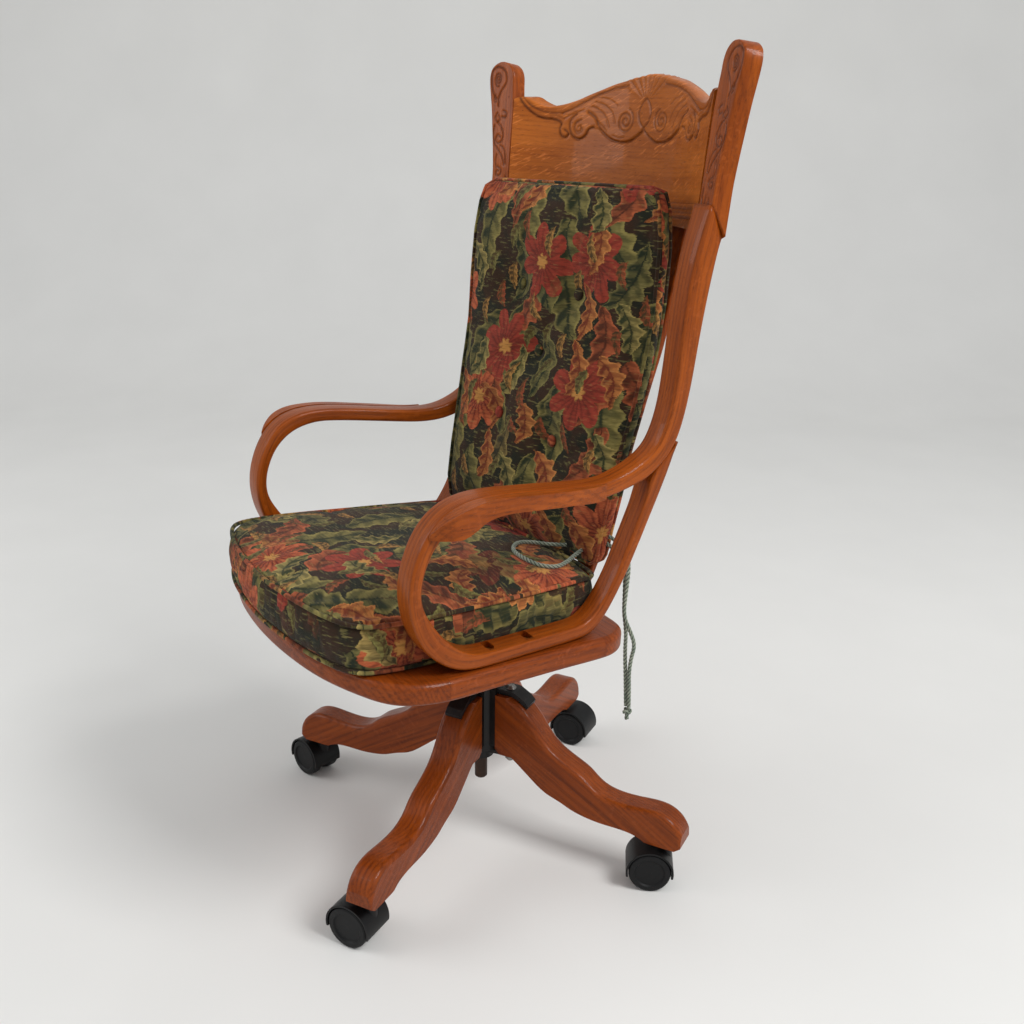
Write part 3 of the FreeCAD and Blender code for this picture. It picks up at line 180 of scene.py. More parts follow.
def add_piece(name, vertices, faces, body, material):
    """A mesh in metres that rides on a body."""
    mesh = mesh_from(name, vertices, faces)
    mesh.validate()
    mesh.update()
    piece = placed(name, mesh)
    mesh.materials.append(material)
    mesh.shade_smooth()
    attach(piece, body)
    return piece


def grid_faces(rows, columns, first=0, closed=False, flip=False):
    """Quads over a grid of vertices, wrapped round where the rows are rings."""
    faces = []
    across = columns if closed else columns - 1
    for row in range(rows - 1):
        for column in range(across):
            beside = (column + 1) % columns
            a = first + row * columns + column
            b = first + row * columns + beside
            c = first + (row + 1) * columns + beside
            d = first + (row + 1) * columns + column
            faces.append((d, c, b, a) if flip else (a, b, c, d))
    return faces


def end_faces(rows, columns):
    """One face over the first ring of a grid and one over its last."""
    return [list(range(columns))[::-1], list(range((rows - 1) * columns, rows * columns))]


def strip_faces(line_a, line_b, flip=False):
    """Quads between two lines of vertices."""
    quads = zip(line_a, line_a[1:], line_b[1:], line_b)
    return [(a, b, c, d) if flip else (b, a, d, c) for a, b, c, d in quads]


def grain_attribute(piece, values):
    """Keeps each vertex's place in the timber, along the grain first, in metres."""
    layer = piece.data.attributes.new("grain", "FLOAT_VECTOR", "POINT")
    layer.data.foreach_set("vector", np.asarray(values, np.float32).ravel())


def value_attribute(piece, name, values):
    """Keeps one number for each vertex."""
    layer = piece.data.attributes.new(name, "FLOAT", "POINT")
    layer.data.foreach_set("value", np.asarray(values, np.float32).ravel())


# Materials

class Shader:
    """A node material built step by step; every helper returns an output socket."""

    def __init__(self, name):
        self.material = bpy.data.materials.new(name)
        self.material.use_nodes = True
        self.tree = self.material.node_tree
        self.surface = self.tree.nodes["Principled BSDF"]

    def node(self, kind, inputs=(), **settings):
        made = self.tree.nodes.new("ShaderNode" + kind)
        for key, value in settings.items():
            setattr(made, key, value)
        for key, value in dict(inputs).items():
            self.give(made.inputs[key], value)
        return made

    def give(self, socket, value):
        if isinstance(value, bpy.types.NodeSocket):
            self.tree.links.new(value, socket)
        else:
            socket.default_value = value

    def maths(self, operation, first, second=0.0, third=0.0):
        made = self.node("Math", operation=operation)
        for socket, value in zip(made.inputs, (first, second, third)):
            self.give(socket, value)
        return made.outputs[0]

    def vector(self, operation, first, second=(0.0, 0.0, 0.0), scale=1.0):
        made = self.node("VectorMath", operation=operation)
        self.give(made.inputs[0], first)
        self.give(made.inputs[1], second)
        if operation == "SCALE":
            self.give(made.inputs["Scale"], scale)
        return made.outputs["Vector"]

    def noise(self, place, scale=1.0, detail=2.0, rough=0.5, stretch=None):
        if stretch is not None:
            place = self.vector("MULTIPLY", place, stretch)
        made = self.node("TexNoise", {"Vector": place, "Scale": scale, "Detail": detail,
                                      "Roughness": rough})
        return made.outputs["Fac"]

    def ramp(self, value, low, high):
        """An even rise from 0 to 1 between two values."""
        made = self.node("MapRange", {"Value": value, "From Min": low, "From Max": high},
                         interpolation_type="SMOOTHSTEP")
        return made.outputs["Result"]

    def span(self, value, low, high):
        """A value from 0 to 1 spread over a range."""
        return self.maths("MULTIPLY_ADD", value, high - low, low)

    def mix(self, share, first, second, blend="MIX"):
        made = self.node("Mix", data_type="RGBA", blend_type=blend)
        self.give(made.inputs[0], share)
        self.give(made.inputs[6], first)
        self.give(made.inputs[7], second)
        return made.outputs[2]

    def tint(self, colour, share, most, other):
        """Another colour laid over the first, by a share of at most so much."""
        return self.mix(self.maths("MULTIPLY", share, most), colour, other)

    def finish(self, colour, rough, height=None, distance=0.0005, strength=1.0, **numbers):
        """Sets the surface's inputs; a height in the range 0 to 1 becomes a bump."""
        self.give(self.surface.inputs["Base Color"], colour)
        self.give(self.surface.inputs["Roughness"], rough)
        if height is not None:
            bump = self.node("Bump", {"Height": height, "Distance": distance,
                                      "Strength": strength})
            self.give(self.surface.inputs["Normal"], bump.outputs["Normal"])
        for key, value in numbers.items():
            self.surface.inputs[key.replace("_", " ")].default_value = value
        return self.material


def tone(red, green, blue):
    """A colour as a screen shows it, 0 to 255, as the linear colour that nodes take."""
    linear = []
    for value in (red, green, blue):
        value /= 255.0
        linear.append(value / 12.92 if value <= 0.04045 else ((value + 0.055) / 1.055) ** 2.4)
    return (*linear, 1.0)


def deepened(colour, *shares):
    """A colour with each channel cut to its share."""
    return (*(value * share for value, share in zip(colour, shares)), 1.0)


def oak(name, light, middle, dark, turn=None, fleck=0.3, offset=0.0, carved=False,
        figure=1.0):
    """Varnished oak; turn is the grain's direction, or None where vertices keep it."""
    sh = Shader(name)
    if turn is None:
        place = sh.node("Attribute", attribute_name="grain").outputs["Vector"]
    else:
        place = sh.node("TexCoord").outputs["Object"]
        place = sh.node("Mapping", {"Vector": place, "Rotation": turn},
                        vector_type="TEXTURE").outputs["Vector"]
    place = sh.vector("ADD", place, (offset, offset * 0.37, offset * 0.71))
    wander = sh.noise(place, 1.0, 2.0, 0.5, (2.5, 16.0, 16.0))
    board = sh.noise(place, 1.0, 3.0, 0.55, (5.0, 42.0, 42.0))
    parts = sh.node("SeparateXYZ", {"Vector": place}).outputs
    across = sh.maths("ADD", parts["Y"], sh.maths("MULTIPLY", parts["Z"], 0.6))
    rings = sh.maths("MULTIPLY_ADD", across, 2.0 * math.pi / 0.0065,
                     sh.maths("MULTIPLY", wander, 26.0))
    rings = sh.ramp(sh.maths("SINE", rings), -0.2, 1.0)
    streaks = sh.noise(place, 1.0, 4.0, 0.65, (9.0, 260.0, 260.0))
    pores = sh.ramp(sh.noise(place, 1.0, 2.0, 0.6, (70.0, 1150.0, 1150.0)), 0.56, 0.68)
    colour = sh.mix(sh.ramp(board, 0.28, 0.72), middle, light)
    colour = sh.tint(colour, rings, 0.24 * figure, dark)
    colour = sh.tint(colour, sh.ramp(streaks, 0.46, 0.68), 0.5 * figure, dark)
    colour = sh.tint(colour, pores, sh.span(rings, 0.16, 0.5), deepened(dark, 0.4, 0.36, 0.32))
    ray_place = sh.node("Mapping", {"Vector": place, "Rotation": (0.0, 0.0, math.radians(24))},
                        vector_type="TEXTURE").outputs["Vector"]
    rays = sh.noise(ray_place, 1.0, 1.5, 0.5, (58.0, 430.0, 120.0))
    patches = sh.ramp(sh.noise(place, 1.0, 1.0, 0.5, (16.0, 24.0, 24.0)), 0.38, 0.6)
    rays = sh.maths("MULTIPLY", sh.ramp(rays, 0.57, 0.64), patches)
    pale = tuple(min(1.0, value * 1.5 + 0.02) for value in light[:3]) + (1.0,)
    colour = sh.tint(colour, rays, fleck, pale)
    worn = sh.ramp(sh.noise(place, 1.0, 4.0, 0.7, (28.0, 46.0, 46.0)), 0.58, 0.8)
    colour = sh.tint(colour, worn, 0.35, dark)
    nicks = sh.ramp(sh.noise(place, 1.0, 1.0, 0.5, (210.0, 330.0, 330.0)), 0.76, 0.8)
    colour = sh.tint(colour, nicks, 0.7, deepened(dark, 0.25, 0.22, 0.2))
    # Painted shade: the carved grooves are darkened by how deep they are cut.
    if carved:
        depth = sh.node("Attribute", attribute_name="cut").outputs["Fac"]
        colour = sh.tint(colour, depth, 0.62, deepened(dark, 0.45, 0.4, 0.36))
    height = sh.maths("SUBTRACT", sh.maths("MULTIPLY", streaks, 0.5), pores)
    height = sh.maths("SUBTRACT", height, sh.maths("MULTIPLY", nicks, 1.5))
    rough = sh.span(sh.noise(place, 1.0, 3.0, 0.6, (20.0, 60.0, 60.0)), 0.24, 0.5)
    return sh.finish(colour, rough, height, 0.00022, 0.6, Coat_Weight=0.14,
                     Coat_Roughness=0.06, Specular_IOR_Level=0.14)


def painted_iron(name, base, dusty, amount=0.35, rough=0.4, metallic=0.0):
    """Cast or turned iron under worn paint, with dust and rust where it has gathered."""
    sh = Shader(name)
    place = sh.node("TexCoord").outputs["Object"]
    dust = sh.noise(place, 60.0, 5.0, 0.7)
    speck = sh.noise(place, 420.0, 3.0, 0.6)
    cast = sh.noise(place, 190.0, 3.0, 0.55)
    share = sh.maths("MULTIPLY", sh.ramp(dust, 0.48, 0.72), amount)
    colour = sh.mix(share, base, dusty)
    colour = sh.tint(colour, sh.ramp(speck, 0.6, 0.75), amount, dusty)
    height = sh.maths("MULTIPLY_ADD", cast, 0.7, sh.maths("MULTIPLY", speck, 0.3))
    return sh.finish(colour, sh.span(dust, rough - 0.12, rough + 0.2), height, 0.0005, 0.5,
                     Metallic=metallic, Specular_IOR_Level=0.3)


def moulded(name, base, rough=0.42):
    """Black moulded nylon with a fine even texture, scuffed here and there."""
    sh = Shader(name)
    place = sh.node("TexCoord").outputs["Object"]
    fine = sh.noise(place, 1500.0, 2.0, 0.5)
    scuff = sh.ramp(sh.noise(place, 130.0, 4.0, 0.75), 0.6, 0.75)
    colour = sh.tint(base, scuff, 0.5, tone(38, 36, 35))
    return sh.finish(colour, sh.span(scuff, rough, rough + 0.25), fine, 0.0002, 0.35,
                     Specular_IOR_Level=0.25)


def motif_space(sh, place, cell, seed, turn=None):
    """Places in metres from the nearest motif's middle, turned its way, and its chances."""
    spread = sh.vector("SCALE", place, scale=1.0 / cell)
    spread = sh.vector("ADD", spread, (seed, seed * 1.7, 0.0))
    cells = sh.node("TexVoronoi", {"Vector": spread, "Scale": 1.0, "Randomness": 0.85},
                    voronoi_dimensions="2D")
    local = sh.vector("SUBTRACT", spread, cells.outputs["Position"])
    local = sh.vector("SCALE", local, scale=cell)
    chance = sh.node("SeparateColor", {"Color": cells.outputs["Color"]}).outputs
    if turn is None:
        angle = sh.maths("MULTIPLY", chance["Red"], 2.0 * math.pi)
    else:
        angle = sh.span(chance["Red"], turn[0], turn[1])
    spun = sh.node("VectorRotate", {"Vector": local, "Angle": angle},
                   rotation_type="Z_AXIS").outputs["Vector"]
    parts = sh.node("SeparateXYZ", {"Vector": spun}).outputs
    return parts["X"], parts["Y"], chance


def leaf(sh, place, cell, seed, length, width, bend, lobes, turn):
    """Mask, light and chances of a scatter of curved, lobed leaves."""
    x, y, chance = motif_space(sh, place, cell, seed, turn)
    y = sh.maths("SUBTRACT", y, sh.maths("MULTIPLY", sh.maths("MULTIPLY", x, x), bend))
    along = sh.maths("DIVIDE", x, length)
    body = sh.maths("SUBTRACT", 1.0, sh.maths("MULTIPLY", along, along))
    edge = sh.maths("MULTIPLY_ADD", sh.maths("SINE", sh.maths("MULTIPLY", along, 15.0)),
                    lobes, 1.0)
    half = sh.maths("MULTIPLY", sh.maths("MULTIPLY", body, width), edge)
    half = sh.maths("MAXIMUM", half, 0.0001)
    off = sh.maths("ABSOLUTE", y)
    mask = sh.ramp(sh.maths("SUBTRACT", half, off), 0.0, 0.0012)
    mask = sh.maths("MULTIPLY", mask, sh.ramp(body, 0.0, 0.05))
    share = sh.maths("DIVIDE", off, half)
    lit = sh.ramp(sh.maths("DIVIDE", y, half), -0.35, 0.5)
    slant = sh.maths("MULTIPLY_ADD", share, -3.5, sh.maths("MULTIPLY", along, 17.0))
    vein = sh.ramp(sh.maths("SINE", slant), -0.5, 0.8)
    rim = sh.ramp(share, 0.62, 0.95)
    shade = sh.maths("MULTIPLY_ADD", lit, 0.34, sh.maths("MULTIPLY", vein, 0.34))
    shade = sh.maths("MULTIPLY_ADD", rim, 0.55, shade)
    shade = sh.maths("MULTIPLY", shade, sh.ramp(share, 0.02, 0.14))
    return mask, sh.maths("MINIMUM", shade, 1.0), chance


def blossom(sh, place, cell, seed, radius):
    """Mask, petal shade, middle and chances of a scatter of open blossoms."""
    x, y, chance = motif_space(sh, place, cell, seed)
    reach = sh.maths("SQRT", sh.maths("ADD", sh.maths("MULTIPLY", x, x),
                                      sh.maths("MULTIPLY", y, y)))
    angle = sh.maths("ARCTAN2", y, x)
    petals = sh.maths("ABSOLUTE", sh.maths("COSINE", sh.maths("MULTIPLY", angle, 3.5)))
    rim = sh.maths("MULTIPLY", sh.maths("MULTIPLY_ADD", petals, 0.42, 0.58), radius)
    mask = sh.ramp(sh.maths("SUBTRACT", rim, reach), 0.0, 0.0012)
    share = sh.maths("DIVIDE", reach, rim)
    stripes = sh.maths("SINE", sh.maths("MULTIPLY_ADD", share, 2.0,
                                        sh.maths("MULTIPLY", angle, 21.0)))
    shade = sh.maths("MULTIPLY_ADD", sh.ramp(stripes, -0.1, 0.9), 0.45,
                     sh.maths("MULTIPLY", sh.ramp(share, 0.9, 0.35), 0.55))
    middle = sh.ramp(share, 0.26, 0.17)
    return mask, shade, middle, chance


def tapestry(name, seed, turn=None):
    """Woven tapestry with scattered leaves and blossoms on a dark ground."""
    sh = Shader(name)
    place = sh.node("UVMap", uv_map="cloth").outputs["UV"]
    pitch = 0.0013
    parts = sh.node("SeparateXYZ", {"Vector": place}).outputs
    weft = sh.maths("MULTIPLY", sh.maths("FLOOR", sh.maths("DIVIDE", parts["Y"], pitch)), pitch)
    rows = sh.node("CombineXYZ", {"X": sh.maths("MULTIPLY", weft, 400.0),
                                  "Y": sh.maths("MULTIPLY", parts["X"], 22.0)}).outputs[0]
    ragged = sh.span(sh.noise(rows, 1.0, 2.0, 0.7), -0.0035, 0.0035)
    warp = sh.noise(place, 14.0, 2.0, 0.5)
    drawn = sh.node("CombineXYZ", {"X": sh.maths("ADD", parts["X"], ragged),
                                   "Y": sh.maths("MULTIPLY_ADD", warp, 0.02, weft)}).outputs[0]

    def ink(red, green, blue):
        return tone(red * 1.03, green * 0.98, blue * 0.9)

    field = sh.noise(drawn, 20.0, 3.0, 0.6)
    colour = sh.mix(sh.ramp(field, 0.4, 0.58), ink(34, 38, 30), ink(56, 40, 30))
    hatch = sh.node("CombineXYZ", {"X": sh.maths("MULTIPLY", parts["X"], 55.0),
                                   "Y": sh.maths("MULTIPLY", weft, 330.0)}).outputs[0]
    hatching = sh.noise(hatch, 1.0, 2.0, 0.6)
    colour = sh.mix(sh.ramp(hatching, 0.54, 0.66), colour, ink(74, 76, 50))

    def paint(colour, mask, shade, low, high):
        return sh.mix(mask, colour, sh.mix(shade, low, high))

    def pick(chance, start, first, second):
        return sh.mix(sh.ramp(chance, start, start + 0.05), first, second)

    mask, shade, chance = leaf(sh, drawn, 0.105, 3.1 + seed, 0.068, 0.027, 5.0, 0.16, turn)
    colour = paint(colour, mask, shade, ink(40, 48, 32), ink(140, 134, 82))
    mask, shade, chance = leaf(sh, drawn, 0.09, 41.3 + seed, 0.055, 0.02, -7.0, 0.2, turn)
    low = pick(chance["Green"], 0.5, ink(36, 46, 34), ink(84, 44, 30))
    high = pick(chance["Green"], 0.5, ink(128, 124, 78), ink(178, 98, 66))
    colour = paint(colour, sh.maths("MULTIPLY", mask, sh.ramp(chance["Blue"], 0.2, 0.25)),
                   shade, low, high)
    mask, shade, middle, chance = blossom(sh, drawn, 0.15, 7.7 + seed, 0.054)
    mask = sh.maths("MULTIPLY", mask, sh.ramp(chance["Blue"], 0.2, 0.22))
    petal = pick(chance["Green"], 0.5, ink(184, 98, 66), ink(150, 62, 50))
    colour = sh.mix(mask, colour, sh.mix(shade, petal, ink(104, 42, 34)))
    colour = sh.tint(colour, mask, middle, ink(186, 138, 78))
    mask, shade, chance = leaf(sh, drawn, 0.075, 12.4 + seed, 0.042, 0.0155, -12.0, 0.25, turn)
    high = pick(chance["Green"], 0.45, ink(166, 154, 98), ink(196, 134, 78))
    low = pick(chance["Green"], 0.45, ink(48, 56, 36), ink(108, 50, 34))
    colour = paint(colour, sh.maths("MULTIPLY", mask, sh.ramp(chance["Blue"], 0.36, 0.4)),
                   shade, low, high)
    mask, shade, chance = leaf(sh, drawn, 0.046, 21.9 + seed, 0.023, 0.0078, 20.0, 0.1, turn)
    spray = pick(chance["Green"], 0.5, ink(192, 146, 84), ink(166, 82, 56))
    spray = sh.mix(sh.ramp(chance["Red"], 0.62, 0.66), spray, ink(128, 130, 78))
    colour = paint(colour, sh.maths("MULTIPLY", mask, sh.ramp(chance["Blue"], 0.5, 0.54)),
                   shade, ink(74, 60, 38), spray)
    colour = sh.tint(colour, sh.ramp(hatching, 0.5, 0.36), 0.35, ink(40, 36, 28))
    colour = sh.tint(colour, sh.ramp(hatching, 0.56, 0.72), 0.22, ink(176, 160, 108))
    warp_wave = sh.maths("SINE", sh.maths("MULTIPLY", parts["X"], 2.0 * math.pi / pitch))
    weft_wave = sh.maths("SINE", sh.maths("MULTIPLY", parts["Y"], 2.0 * math.pi / pitch))
    weave = sh.maths("MULTIPLY", warp_wave, weft_wave)
    height = sh.maths("MULTIPLY_ADD", hatching, 2.0, weave)
    return sh.finish(colour, 0.86, height, 0.0003, 0.6, Sheen_Weight=0.06,
                     Sheen_Roughness=0.5, Specular_IOR_Level=0.12)


def twisted_yarn(name):
    """Grey-green spun yarn with pale fibres, with painted shade in the grooves between its plies."""
    sh = Shader(name)
    place = sh.node("TexCoord").outputs["Object"]
    fibre = sh.noise(place, 900.0, 4.0, 0.7)
    fade = sh.noise(place, 60.0, 2.0, 0.5)
    colour = sh.mix(sh.ramp(fade, 0.35, 0.65), tone(112, 124, 108), tone(146, 152, 134))
    colour = sh.mix(sh.ramp(fibre, 0.5, 0.7), colour, tone(176, 182, 160))
    # Painted shade: darker away from each ply's crown, in the grooves between plies.
    ply = sh.node("Attribute", attribute_name="ply").outputs["Fac"]
    colour = sh.mix(sh.ramp(ply, 0.75, 0.25), colour, tone(50, 60, 50))
    return sh.finish(colour, 0.9, fibre, 0.0004, 0.8, Sheen_Weight=0.3)


GOLD = (tone(162, 78, 16), tone(138, 62, 10), tone(86, 36, 6))
RED = (tone(144, 66, 16), tone(122, 52, 10), tone(74, 28, 6))
BROWN = (tone(182, 100, 34), tone(160, 82, 22), tone(102, 46, 14))


def turned(x=0.0, y=0.0, z=0.0):
    """A grain direction as turns in degrees from the x axis."""
    return tuple(math.radians(angle) for angle in (x, y, z))


ALONG_X, ALONG_Y, ALONG_Z = turned(), turned(z=90), turned(y=-90)
bent_oak = oak("bent_oak", *GOLD, fleck=0.12)
carved_oak = oak("carved_oak", *BROWN, fleck=0.55, carved=True, offset=2.0, figure=0.4)
stile_oak = oak("stile_oak", *GOLD, fleck=0.2, carved=True, offset=5.0, figure=0.8)
iron = painted_iron("black_iron", tone(17, 15, 15), tone(52, 40, 32))
screw_steel = painted_iron("rusty_screw", tone(58, 42, 34), tone(104, 66, 44), 0.6, 0.5, 0.35)
bright_steel = painted_iron("plain_steel", tone(136, 134, 130), tone(92, 84, 74), 0.3, 0.3, 0.85)
brass_metal = painted_iron("old_brass", tone(132, 98, 50), tone(70, 50, 30), 0.5, 0.35, 0.8)
nylon = moulded("black_nylon", tone(13, 13, 14))
tread = moulded("caster_tread", tone(16, 16, 17), 0.5)
seat_cloth = tapestry("seat_tapestry", 0.0)
back_cloth = tapestry("back_tapestry", 31.0, turn=(0.9, 2.3))
edge_cloth = tapestry("edging_tapestry", 17.0)
yarn = twisted_yarn("cord_yarn")


# Pieces of the frame that keep their own shape


def dress(material, *names):
    """Gives solids of the frame a material in place of their own."""
    for name in names:
        for place in nodes[name].material_slots:
            place.material = material


for number, name in enumerate(("leg_front_left", "leg_rear_left", "leg_rear_right",
                               "leg_front_right")):
    dress(oak(name + "_oak", *RED, turn=turned(y=31, z=-60 + 90 * number), fleck=0.15,
              offset=number + 7.0), name)
dress(oak("rail_oak_x", *RED, turn=ALONG_X, fleck=0.2, offset=11.0),
      "seat_front_rail", "seat_rear_rail", "seat_panel")
dress(oak("rail_oak_y", *RED, turn=ALONG_Y, fleck=0.2, offset=12.0),
      "seat_left_rail", "seat_right_rail")
dress(oak("cheek_oak", *GOLD, turn=ALONG_Y, fleck=0.12, offset=13.0),
      "left_arm_cheek", "right_arm_cheek")
for number in range(1, 6):
    dress(oak("slat_oak_%d" % number, *RED, turn=ALONG_Z, fleck=0.2, offset=20.0 + number),
          "back_slat_%d" % number)
dress(iron, "hub_casting", "lower_spider", "height_nut", "seat_iron")
dress(screw_steel, "spindle_screw")
dress(bright_steel, "leg_bolts", "leg_nuts", "seat_iron_screws")
dress(brass_metal, "caster_sockets", "arm_screws")
for corner in ("front_left", "rear_left", "rear_right", "front_right"):
    dress(nylon, corner + "_caster_hood")
    dress(tread, corner + "_inner_wheel", corner + "_outer_wheel")
    dress(bright_steel, corner + "_caster_stem")
    dress(nylon, corner + "_caster_axle")


# Bentwood arms: the outer and inner edges of the strip as (y, z), and its outer x

ARM_RUN = [
    ((166, 945), (187, 905), 250), ((153, 905), (184, 893), 249.5),
    ((147, 880), (181, 876), 248.4), ((142, 845), (175.3, 843), 247),
    ((139, 809), (170.3, 807), 245.4), ((137, 773), (166, 771), 244),
    ((134.5, 736), (162, 733), 242.4), ((131, 704), (156.8, 700), 241),
    ((124.5, 678), (149, 668), 240), ((115, 656), (137, 643), 239),
    ((102, 643), (119, 626), 238.5), ((88, 634.5), (99, 612), 238.2),
    ((73, 628), (80, 607), 238), ((57, 622.8), (61, 602), 238.2),
    ((40, 619.7), (42, 599.3), 240), ((15, 619.2), (14, 599.2), 243.5),
    ((-20, 622.5), (-21, 604), 245.2), ((-60, 627.5), (-62, 609.2), 249.6),
    ((-100, 632.5), (-101, 614), 254.8), ((-130, 635.6), (-130, 617), 256.2),
    ((-156, 636), (-149, 618), 256.6), ((-180, 632.8), (-171, 614.5), 256.8),
    ((-200, 625), (-188, 608.3), 257), ((-217, 612), (-203, 598), 257),
    ((-231, 593), (-216, 584), 257), ((-242, 568), (-226, 564.5), 257),
    ((-248, 542), (-232.5, 542), 257), ((-248, 515), (-232, 518), 257),
    ((-240, 482), (-220, 495), 257), ((-224, 455), (-204, 472), 256.5),
    ((-200, 434.3), (-185, 454), 256.2), ((-175, 423.5), (-166, 442.5), 254.3),
    ((-150, 419.3), (-147, 437.5), 251.6), ((-100, 416.7), (-99, 434.7), 246.2),
    ((-50, 414.1), (-49, 432.2), 240.8), ((-6, 412.2), (-5, 430.2), 236),
    ((20, 413.5), (13, 431), 233.4), ((39, 424), (28, 438.5), 231.4),
    ((54, 440), (43, 451.5), 229.8), ((67, 458), (54.5, 467), 228.8),
    ((79, 477.5), (65.5, 484.5), 228.2), ((89, 497), (74, 502), 228.2),
    ((97.3, 516), (80.5, 520), 228.8), ((105, 534), (87.5, 537), 229.8),
    ((112, 554), (94.3, 556.5), 231.6), ((119, 573), (100.5, 575), 233.6),
    ((126, 593), (105, 597), 235.6), ((133.2, 612.5), (112, 618.5), 237),
    ((140.2, 633), (127, 635), 238.2), ((147, 655), (142, 650), 239)]
ARM_WIDTH_Y = [-150, -20, 40, 140, 187]
ARM_WIDTH = [36, 35, 33, 33, 34.5]
ARM_ROUND = 4.5
ARM_CORNER_STEPS = 5
ARM_EVENING = 14
POCKET_Y = (-131.0, -72.0)
POCKET_INSET = 20.0
POCKET_RADIUS = 5.8
POCKET_DEPTH = 9.0
POCKET_SLIDES = (4.0, -8.0)
LOWER_RUN = ARM_RUN[30:36]


def strip_ring(station, side):
    """One ring of the strip's rounded section, with each point's place in the timber."""
    yo, zo, yi, zi, high = station
    outer, inner = np.array([yo, zo]), np.array([yi, zi])
    inward = inner - outer
    thick = np.linalg.norm(inward)
    inward = inward / thick
    wide = float(np.interp(yo, ARM_WIDTH_Y, ARM_WIDTH))
    r = min(ARM_ROUND, thick * 0.42)
    section = []
    for middle, corner, start in (((wide * 0.5, 0.0), (wide - r, r), -90),
                                  ((wide, thick * 0.5), (wide - r, thick - r), 0),
                                  ((wide * 0.5, thick), (r, thick - r), 90),
                                  ((0.0, thick * 0.5), (r, r), 180)):
        section.append(middle)
        for step in range(ARM_CORNER_STEPS):
            angle = math.radians(start + step * 90.0 / (ARM_CORNER_STEPS - 1))
            section.append((corner[0] + r * math.cos(angle), corner[1] + r * math.sin(angle)))
    ring = []
    for a, b in section:
        place = outer + inward * b
        ring.append((side * (high - a), place[0], place[1], a, b))
    return ring


def pocket_cutter(y, side):
    """A long round-ended plug that sinks one screw pocket in the arm's lower run."""
    inner_y, inner_z = zip(*(inner for _outer, inner, _x in LOWER_RUN))
    x = side * (float(np.interp(y, [outer[0] for outer, _inner, _x in LOWER_RUN],
                                [x for _outer, _inner, x in LOWER_RUN])) - POCKET_INSET)
    top = float(np.interp(y, inner_y, inner_z))
    around = 28
    ring = []
    for level in (top - POCKET_DEPTH, top + 8.0):
        for step in range(around):
            angle = 2.0 * math.pi * (step + 0.5) / around
            slide = POCKET_SLIDES[0 if math.cos(angle) > 0.0 else 1]
            ring.append(((x + side * (slide + POCKET_RADIUS * math.cos(angle))) * MM,
                         (y + POCKET_RADIUS * side * math.sin(angle)) * MM, level * MM))
    faces = grid_faces(2, around, closed=True) + end_faces(2, around)
    return placed("pocket", mesh_from("pocket", ring, faces))


def bentwood_arm(side, side_name):
    """The strip with its two screw pockets sunk in the lower run."""
    stations = smooth_line([(*outer, *inner, x) for outer, inner, x in ARM_RUN], 6)
    for _ in range(ARM_EVENING):
        stations[1:-1] = (stations[:-2] + 2.0 * stations[1:-1] + stations[2:]) / 4.0
    lengths = travelled((stations[:, 0:2] + stations[:, 2:4]) * 0.5)
    vertices, grain = [], []
    for station, length in zip(stations, lengths):
        ring = strip_ring(station, side)
        vertices += [(x * MM, y * MM, z * MM) for x, y, z, _a, _b in ring]
        grain += [(length * MM, a * MM, b * MM) for _x, _y, _z, a, b in ring]
    around = len(ring)
    faces = grid_faces(len(stations), around, closed=True, flip=side > 0)
    ends = end_faces(len(stations), around)
    faces += [face[::-1] for face in ends] if side > 0 else ends
    arm = add_piece(side_name + "_arm_strip", vertices, faces, "seat", bent_oak)
    cutters = [pocket_cutter(y, side) for y in POCKET_Y]
    for cutter in cutters:
        sink = arm.modifiers.new("pocket", "BOOLEAN")
        sink.operation = "DIFFERENCE"
        sink.solver = "EXACT"
        sink.object = cutter
    pierced = evaluated(arm)
    pierced.name = side_name + "_arm_strip"
    arm.modifiers.clear()
    arm.data = pierced
    for cutter in cutters:
        bpy.data.objects.remove(cutter)
    tree = tree_of(vertices)
    grain_attribute(arm, [grain[tree.find(vertex.co)[1]] for vertex in pierced.vertices])
    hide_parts(side_name + "_bentwood_arm")


for arm_side, arm_name in ((1, "left"), (-1, "right")):
    bentwood_arm(arm_side, arm_name)


# Carved crest rail: strokes as (distance along the arc from the middle, height over the foot)

